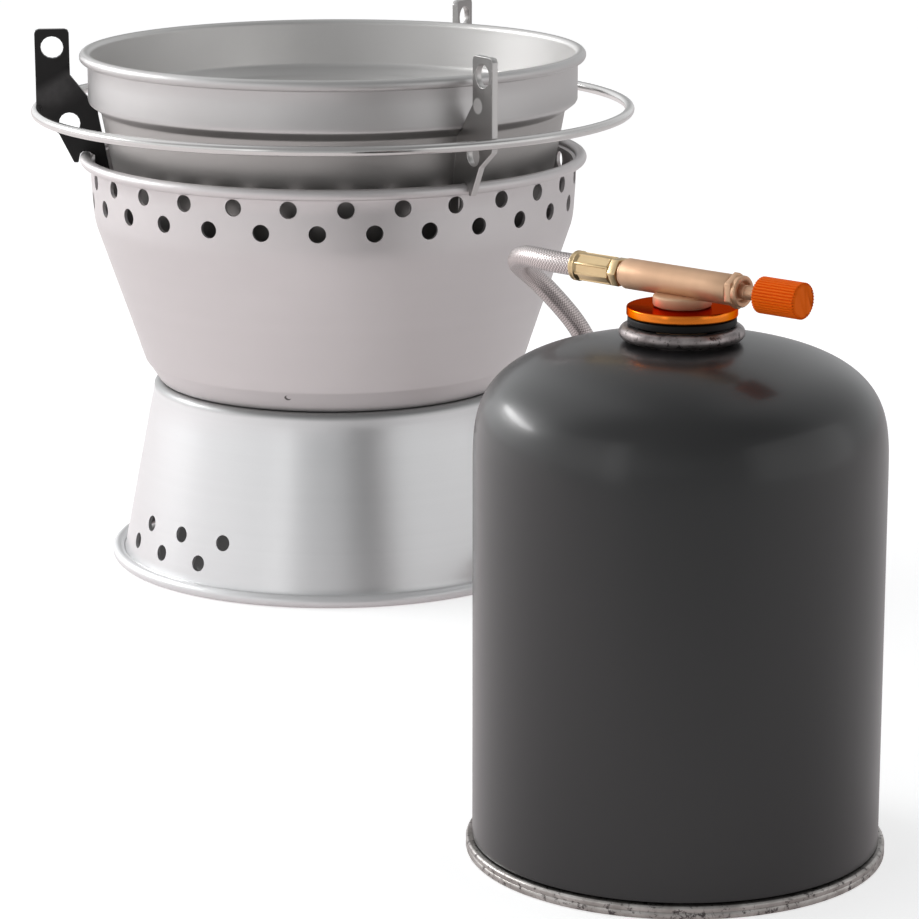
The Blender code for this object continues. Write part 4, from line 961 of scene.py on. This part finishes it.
def plate(node, finish):
    """A copy of a support's solid with its flat faces joined and its edges bevelled."""
    bm = bmesh.new()
    bm.from_mesh(nodes[node].data)
    bmesh.ops.remove_doubles(bm, verts=bm.verts, dist=1e-6)
    bmesh.ops.dissolve_limit(bm, angle_limit=math.radians(1.0), verts=bm.verts, edges=bm.edges)
    for vert in bm.verts:
        away = from_wire(vert.co)
        if away.length < 1.2 * CAD_SLOT_R * MM:
            vert.co += away * (SLOT_R / CAD_SLOT_R - 1)
    if node == "support_left":
        highest = max(vert.co.z for vert in bm.verts)
        fold(bm, fold_start, fold_end, fold_up, FOLD_DEGREES)
        for vert in bm.verts:
            vert.co.z = min(vert.co.z, highest)
    bevel(bm, [edge for edge in bm.edges if is_outer_edge(edge)], PLATE_BEVEL)
    made = finish_piece(node + "_plate", bm, finish, "pot_support", [node])
    keep_flat(made, area=3.0)


plate("support_left", black_steel)
plate("support_right", right_steel)
plate("support_back", plate_steel("back_plate_steel", 152.5))

# %% [markdown]
# ## Canister
# A deep-drawn painted shell with a domed shoulder, a folded seam of bare tinned steel round
# its foot, and a bare collar that holds the threaded neck. The shoulder is neither an arc
# nor an ellipse: it turns in quickly and then flattens, so it is a curve with two powers,
# with its points set closer where it turns. The neck's thread is drawn as plain grooves,
# because nearly all of it sits inside the valve.

# %% Canister shell and base
DOME_R = 55.0
SHOULDER_Z = 104.0
DOME_HEIGHT = 36.5
DOME_POWER = 2.6
DOME_ROOT = 3.7
SHELL_WALL = 0.8
SHELL_FOOT_Z = 4.1
MOUTH_R = 13.2


def dome(radius, inset=0.0):
    """A point of the shoulder at a radius, or of its inside at an inset."""
    share = 1 - (radius / DOME_R) ** DOME_POWER
    return (radius - inset, SHOULDER_Z + DOME_HEIGHT * share ** (1 / DOME_ROOT) - inset)


shares = 1 - np.linspace(0.0, 1.0, 34)[1:] ** 2.2 * 0.76
outline = [(DOME_R, z) for z in (SHELL_FOOT_Z, 30.0, 60.0, 85.0, SHOULDER_Z)]
outline += [dome(DOME_R * s) for s in shares]
outline += [dome(MOUTH_R), (MOUTH_R, dome(MOUTH_R)[1] - SHELL_WALL)]
outline += [dome(DOME_R * s, SHELL_WALL) for s in reversed(shares)]
outline += [(DOME_R - SHELL_WALL, SHOULDER_Z), (DOME_R - SHELL_WALL, SHELL_FOOT_Z)]
turned(
    "canister_body", outline, paint, "gas_canister",
    ["canister_shell"], AT_CANISTER,
)

# %% Seam
outline = [(0.0, 9.8), (27.5, 8.0), (52.0, 3.8), (53.4, 3.7)]
outline += arc((55.9, 2.85), 0.85, 100, 0, 6)
outline += [(56.65, 2.2), (56.5, 1.9), (56.7, 1.6)]
outline += arc((55.95, 0.8), 0.8, 20, -90, 7)
outline += [(54.3, 0.0), (53.4, 0.5), (52.6, 3.2), (27.5, 7.2), (0.0, 9.0)]
turned(
    "canister_seam", outline, seam_tin, "gas_canister",
    ["canister_base"], AT_CANISTER,
)

# %% Collar
outline = arc((14.75, 142.7), 1.9, -100, 95, 18)
outline += [(14.0, 144.5), (12.4, 144.2), (11.2, 142.7), (11.2, 136.4), (5.4, 136.4)]
THREAD_GROOVES = 7
for i in range(THREAD_GROOVES):
    outline += [(5.15, 137.2 + i), (5.4, 137.7 + i)]
outline += [(5.3, 145.5), (5.0, 145.7), (3.6, 145.7), (3.6, 135.2), (12.4, 135.2), (12.4, 140.8)]
turned(
    "canister_collar_ring", outline, collar_tin, "gas_canister",
    ["canister_collar"], AT_CANISTER, steps=96,
)

# %% [markdown]
# ## Valve
# The valve is turned from bronze: a stem on the canister, a low boss, and a barrel lying
# across it. An orange disc and a black gasket sit under the boss. The barrel is a cylinder
# with worked ends, joined to the boss with a Boolean so that their edges meet cleanly.

# %% Barrel and boss
BARREL_R = 4.1


def lying(middle, turn, way=1):
    """A place whose local Z lies level: turned round the upright, pointing forwards or back."""
    flat = Matrix.Rotation(way * math.pi / 2, 4, "Y")
    return Matrix.Translation(middle) @ Matrix.Rotation(turn, 4, "Z") @ flat


ALONG = lying(BARREL, -VALVE_TURN)
outline = [(0.0, -19.7), (3.2, -19.7), (3.5, -19.55), (3.6, -19.3), (3.6, -18.9), (3.95, -18.6)]
outline += [(BARREL_R, z) for z in (-18.3, -9.0, 9.0, 16.1)] + [(3.9, 16.5), (3.6, 16.6), (0.0, 16.6)]
barrel = turned("valve_barrel", outline, bronze, "base", ["valve_body"], ALONG, steps=64)
outline = [(0.0, 152.7), (7.1, 152.7), (7.5, 152.55), (7.8, 152.2), (7.8, 150.3), (7.6, 149.9)]
outline += [(6.7, 149.9), (6.7, 136.7), (5.7, 136.7), (5.7, 147.3), (0.0, 147.3)]
boss = turned("valve_boss", outline, bronze, "base", (), AT_CANISTER, steps=72)
boolean(barrel, boss, "UNION")

# %% Disc and gasket
outline = [(7.0, 147.2), (14.3, 147.2)] + arc((14.35, 147.55), 0.35, -90, 0, 4)
outline += arc((14.35, 149.25), 0.35, 0, 90, 4) + [(14.2, 149.6), (7.0, 149.6)]
turned(
    "valve_disc_turned", outline, anodised, "base",
    ["valve_disc"], AT_CANISTER, steps=96,
)
outline = [(7.0, 144.9), (13.9, 144.9)] + arc((13.95, 145.35), 0.45, -90, 0, 4)
outline += arc((13.95, 146.45), 0.45, 0, 90, 4) + [(7.0, 146.9)]
turned(
    "valve_gasket_turned", outline, rubber, "base",
    ["valve_gasket"], AT_CANISTER, steps=96,
)

# %% [markdown]
# The fittings along the barrel's axis share one helper for a nut: a six-sided prism made
# from a circle of six corners, extruded, with its corners and rims bevelled. A ferrule is
# the same with eight sides, each one sunk a little as a press leaves it, and a round
# collar where it grips the hose. One function makes both ends of the hose.

# %% Nuts and hose ends


def raise_end(bm, low, high):
    """Moves a flat cap to one height and draws it out to another, in millimetres."""
    bmesh.ops.translate(bm, verts=bm.verts, vec=(0, 0, low * MM))
    made = bmesh.ops.extrude_face_region(bm, geom=list(bm.faces))["geom"]
    top = [item for item in made if isinstance(item, bmesh.types.BMVert)]
    bmesh.ops.translate(bm, verts=top, vec=(0, 0, (high - low) * MM))


def nut_mesh(radius, low, high, sides=6, edge=0.3, turn=0.0):
    """A bevelled prism along local Z between two heights."""
    bm = bmesh.new()
    bmesh.ops.create_circle(bm, cap_ends=True, segments=sides, radius=radius * MM)
    spin = Matrix.Rotation(math.radians(turn), 3, "Z")
    bmesh.ops.rotate(bm, verts=bm.verts, cent=(0, 0, 0), matrix=spin)
    raise_end(bm, low, high)
    bevel(bm, list(bm.edges), edge)
    return bm


packing_nut = nut_mesh(4.9, low=16.9, high=18.9, turn=30)
finish_piece("packing_nut_hex", packing_nut, bronze, "base", ["packing_nut"], ALONG)
outline = [(2.05, 18.6), (4.0, 18.6), (4.2, 18.9), (4.2, 19.9), (3.9, 20.3), (3.2, 20.3)]
outline += [(2.9, 20.1), (2.4, 19.0), (2.05, 18.9)]
turned("packing_collar", outline, bronze, "base", (), ALONG, steps=48)
HOSE_SIDE = lying(BARREL, -VALVE_TURN, way=-1)
BURNER_SIDE = lying(COOKER + Vector((0, 0, BURNER_HOSE_Z)), OPENING_TURN - math.pi / 2)


def hose_end_pieces(prefix, place, start):
    """The nut, the ferrule with its sunk flats and its round collar at one end of the hose."""
    nut = nut_mesh(4.1, start, start + 2.6, edge=0.2)
    finish_piece(prefix + "_nut_hex", nut, brass, "base", [prefix + "_nut"], place)
    low = start + 2.9
    body = nut_mesh(3.95, low, low + 11.4, sides=8, turn=22.5)
    flats = [f for f in body.faces if abs(f.normal.z) < 0.1 and f.calc_area() > 12 * MM * MM]
    bmesh.ops.inset_individual(body, faces=flats, thickness=0.35 * MM, depth=-0.22 * MM)
    ferrule = prefix + "_ferrule"
    finish_piece(ferrule + "_flats", body, brass, "base", [ferrule], place, sharp=25.0)
    outline = [(3.1, low + 11.1), (3.7, low + 11.1)]
    outline += arc((3.75, low + 11.75), 0.35, -60, 60, 5)
    outline += arc((3.75, low + 13.0), 0.35, -40, 80, 5)
    outline += [(3.2, low + 13.6), (3.1, low + 13.4)]
    turned(ferrule + "_collar", outline, brass, "base", (), place, steps=48)


hose_end_pieces("valve_hose", HOSE_SIDE, 20.0)
hose_end_pieces("burner_hose", BURNER_SIDE, 14.3)

# %% [markdown]
# The knob screws the needle in and out. It is a circle of many corners, with every fourth
# one drawn in for a groove of the knurl, extruded along the spindle, its ends inset and
# drawn back for an edge that is kind to the fingers. Cutting the grooves with a Boolean
# would give the same shape in many more steps. The spindle is turned like the rest.

# %% Spindle and knob
outline = [(0.0, 4.0), (1.9, 7.8), (1.9, 20.9), (1.75, 21.1), (1.75, 21.5)]
outline += [(1.9, 21.7), (1.9, 31.7), (0.0, 31.7)]
turned("needle_spindle", outline, bronze, "valve_control", ["spindle"], ALONG, steps=32)
KNOB_START = 25.7
KNOB_END = 39.5
KNOB_R = 4.8
GROOVE_R = 4.42
GROOVES = 36
KNOB_EDGE = 0.45
KNOB_INSET = 0.55
RIM_FROM = 4.3
knurl = bmesh.new()
bmesh.ops.create_circle(knurl, cap_ends=True, segments=4 * GROOVES, radius=KNOB_R * MM)
for i, vert in enumerate(sorted(knurl.verts, key=lambda v: math.atan2(v.co.y, v.co.x))):
    if i % 4 == 0:
        vert.co *= GROOVE_R / KNOB_R
raise_end(knurl, KNOB_START, KNOB_END)
ends = [f for f in knurl.faces if abs(f.normal.z) > 0.9]
bmesh.ops.inset_individual(knurl, faces=ends, thickness=KNOB_INSET * MM, depth=0.0)
knob_middle = (KNOB_START + KNOB_END) / 2 * MM
for vert in knurl.verts:
    if math.hypot(vert.co.x, vert.co.y) > RIM_FROM * MM:
        vert.co.z += KNOB_EDGE * MM if vert.co.z < knob_middle else -KNOB_EDGE * MM
knob = finish_piece(
    "valve_knob",
    knurl,
    knob_orange,
    "valve_control",
    ["knob"],
    ALONG,
    sharp=30.0,
)
keep_flat(knob, area=15.0)

# %% [markdown]
# ## Braid
# The hose is a fine grid wrapped round its line. Two families of flat bundles of wire
# cross each other, one over and one under in turn, and push the surface in and out. Real
# wires would need millions of faces, so the weave is a formula, used twice: it moves the
# grid's points, and in the finish it paints shade into the gaps and gives the finer relief.
# The grid's own UV map runs along and round the hose, so the weave follows every bend.

# %% Braid pattern as a node group
BUNDLES = 14
BRAID_STEP = 1.0 * MM
CROSSING_SHARP = 2.5
BUNDLE_ROUND = 1.1
braid, braid_in, braid_out = node_group("braid", {}, ["Height"])
along_hose = part(braid, "X", braid_in["Vector"])
round_hose = part(braid, "Y", braid_in["Vector"])
waves = []
for slant in ("ADD", "SUBTRACT"):
    angle = maths(braid, "MULTIPLY", maths(braid, slant, round_hose, along_hose), math.pi)
    waves.append(maths(braid, "SINE", angle))
crossing = maths(braid, "MULTIPLY", *waves)
first_over = maths(braid, "MULTIPLY_ADD", crossing, CROSSING_SHARP, 0.5, clamp=True)
second_over = maths(braid, "SUBTRACT", 1.0, first_over)
bundles = []
for wave, is_over in zip(waves, (first_over, second_over)):
    rounded = maths(braid, "POWER", maths(braid, "ABSOLUTE", wave), BUNDLE_ROUND)
    bundles.append(maths(braid, "MULTIPLY", rounded, is_over))
braid.links.new(maths(braid, "ADD", *bundles, clamp=True), braid_out["Height"])

# %% Braid finish
braided = Finish("steel_braid", (0.12, 0.105, 0.10), 0.30, 1.0)
on_hose = add_node(braided.tree, "TexCoord", output="UV")
weave_scale = (hose_length / BRAID_STEP, BUNDLES, 1.0)
braided.vector = add_node(braided.tree, "Mapping", on_hose, None, None, weave_scale)
woven = braided.group(braid)["Height"]
# Painted shade: the gaps of the weave are dark, its crowns light.
braided.cover(woven, (0.70, 0.635, 0.625))
braided.bump(woven, 0.55, 0.10)

# %% Braided hose
SIDES = 56
HOSE_TUCK = 1.2 * MM
tube_line = [hose_start - hose_away * HOSE_TUCK] + hose_line + [hose_end - hose_out * HOSE_TUCK]
tube_steps = [(b - a).length for a, b in zip(tube_line, tube_line[1:])]
RELIEF = 0.03 * MM


def weave_height(along, round_turn):
    """The same weave as the node group's, for a distance along and a share of a turn."""
    a = math.sin(math.pi * (round_turn * BUNDLES + along / BRAID_STEP))
    b = math.sin(math.pi * (round_turn * BUNDLES - along / BRAID_STEP))
    over = min(1.0, max(0.0, 0.5 + CROSSING_SHARP * a * b))
    return over * abs(a) ** BUNDLE_ROUND + (1 - over) * abs(b) ** BUNDLE_ROUND


hose_bm = bmesh.new()
hose_bm.loops.layers.uv.new("along_and_round")
last = len(tube_line) - 1
bmesh.ops.create_grid(hose_bm, x_segments=last, y_segments=SIDES, size=0.5, calc_uvs=True)
side = Vector((0.0, 0.0, 1.0))
frames = []
distance = -HOSE_TUCK
for i, where in enumerate(tube_line):
    ahead = tube_line[min(i + 1, last)] - tube_line[max(i - 1, 0)]
    ahead.normalize()
    side = (side - ahead * side.dot(ahead)).normalized()
    frames.append((where, side.copy(), ahead.cross(side), distance))
    if i < len(tube_steps):
        distance += tube_steps[i]
uv_layer = hose_bm.loops.layers.uv.active
for face in hose_bm.faces:
    for loop in face.loops:
        row = round((loop.vert.co.x + 0.5) * last)
        loop[uv_layer].uv = (frames[row][3] / hose_length, loop.vert.co.y + 0.5)
for vert in hose_bm.verts:
    row = round((vert.co.x + 0.5) * last)
    round_turn = vert.co.y + 0.5
    where, up, across_it, along = frames[row]
    radius = HOSE_R - RELIEF * (1 - weave_height(along, round_turn))
    turn = 2 * math.pi * round_turn
    vert.co = where + radius * (math.cos(turn) * up + math.sin(turn) * across_it)
bmesh.ops.remove_doubles(hose_bm, verts=hose_bm.verts, dist=1e-7)
rims = [edge for edge in hose_bm.edges if edge.is_boundary]
bmesh.ops.holes_fill(hose_bm, edges=rims, sides=0)
hose = finish_piece("braided_hose", hose_bm, braided, "base", ["hose"], sharp=60.0)

# %% [markdown]
# ## Finishes of the solids that stay
# The burner and the canister's own valve are inside, so their solids stay as they are and
# take the same finishes as the pieces round them.

# %% Finishes for carried-over solids
CARRIED = {
    "burner_bracket": steel,
    "mixing_tube": brass,
    "burner_nut": brass,
    "burner_cup": steel,
    "burner_cap": brass,
    "burner_jet": brass,
    "burner_elbow": brass,
    "neck_seal": rubber,
    "valve_opener_pin": brass,
    "canister_valve_core": rubber,
    "canister_valve_pin": steel,
}
for node, finish in CARRIED.items():
    for material_slot in nodes[node].material_slots:
        material_slot.material = finish.material
print("carried over:", len(CARRIED))
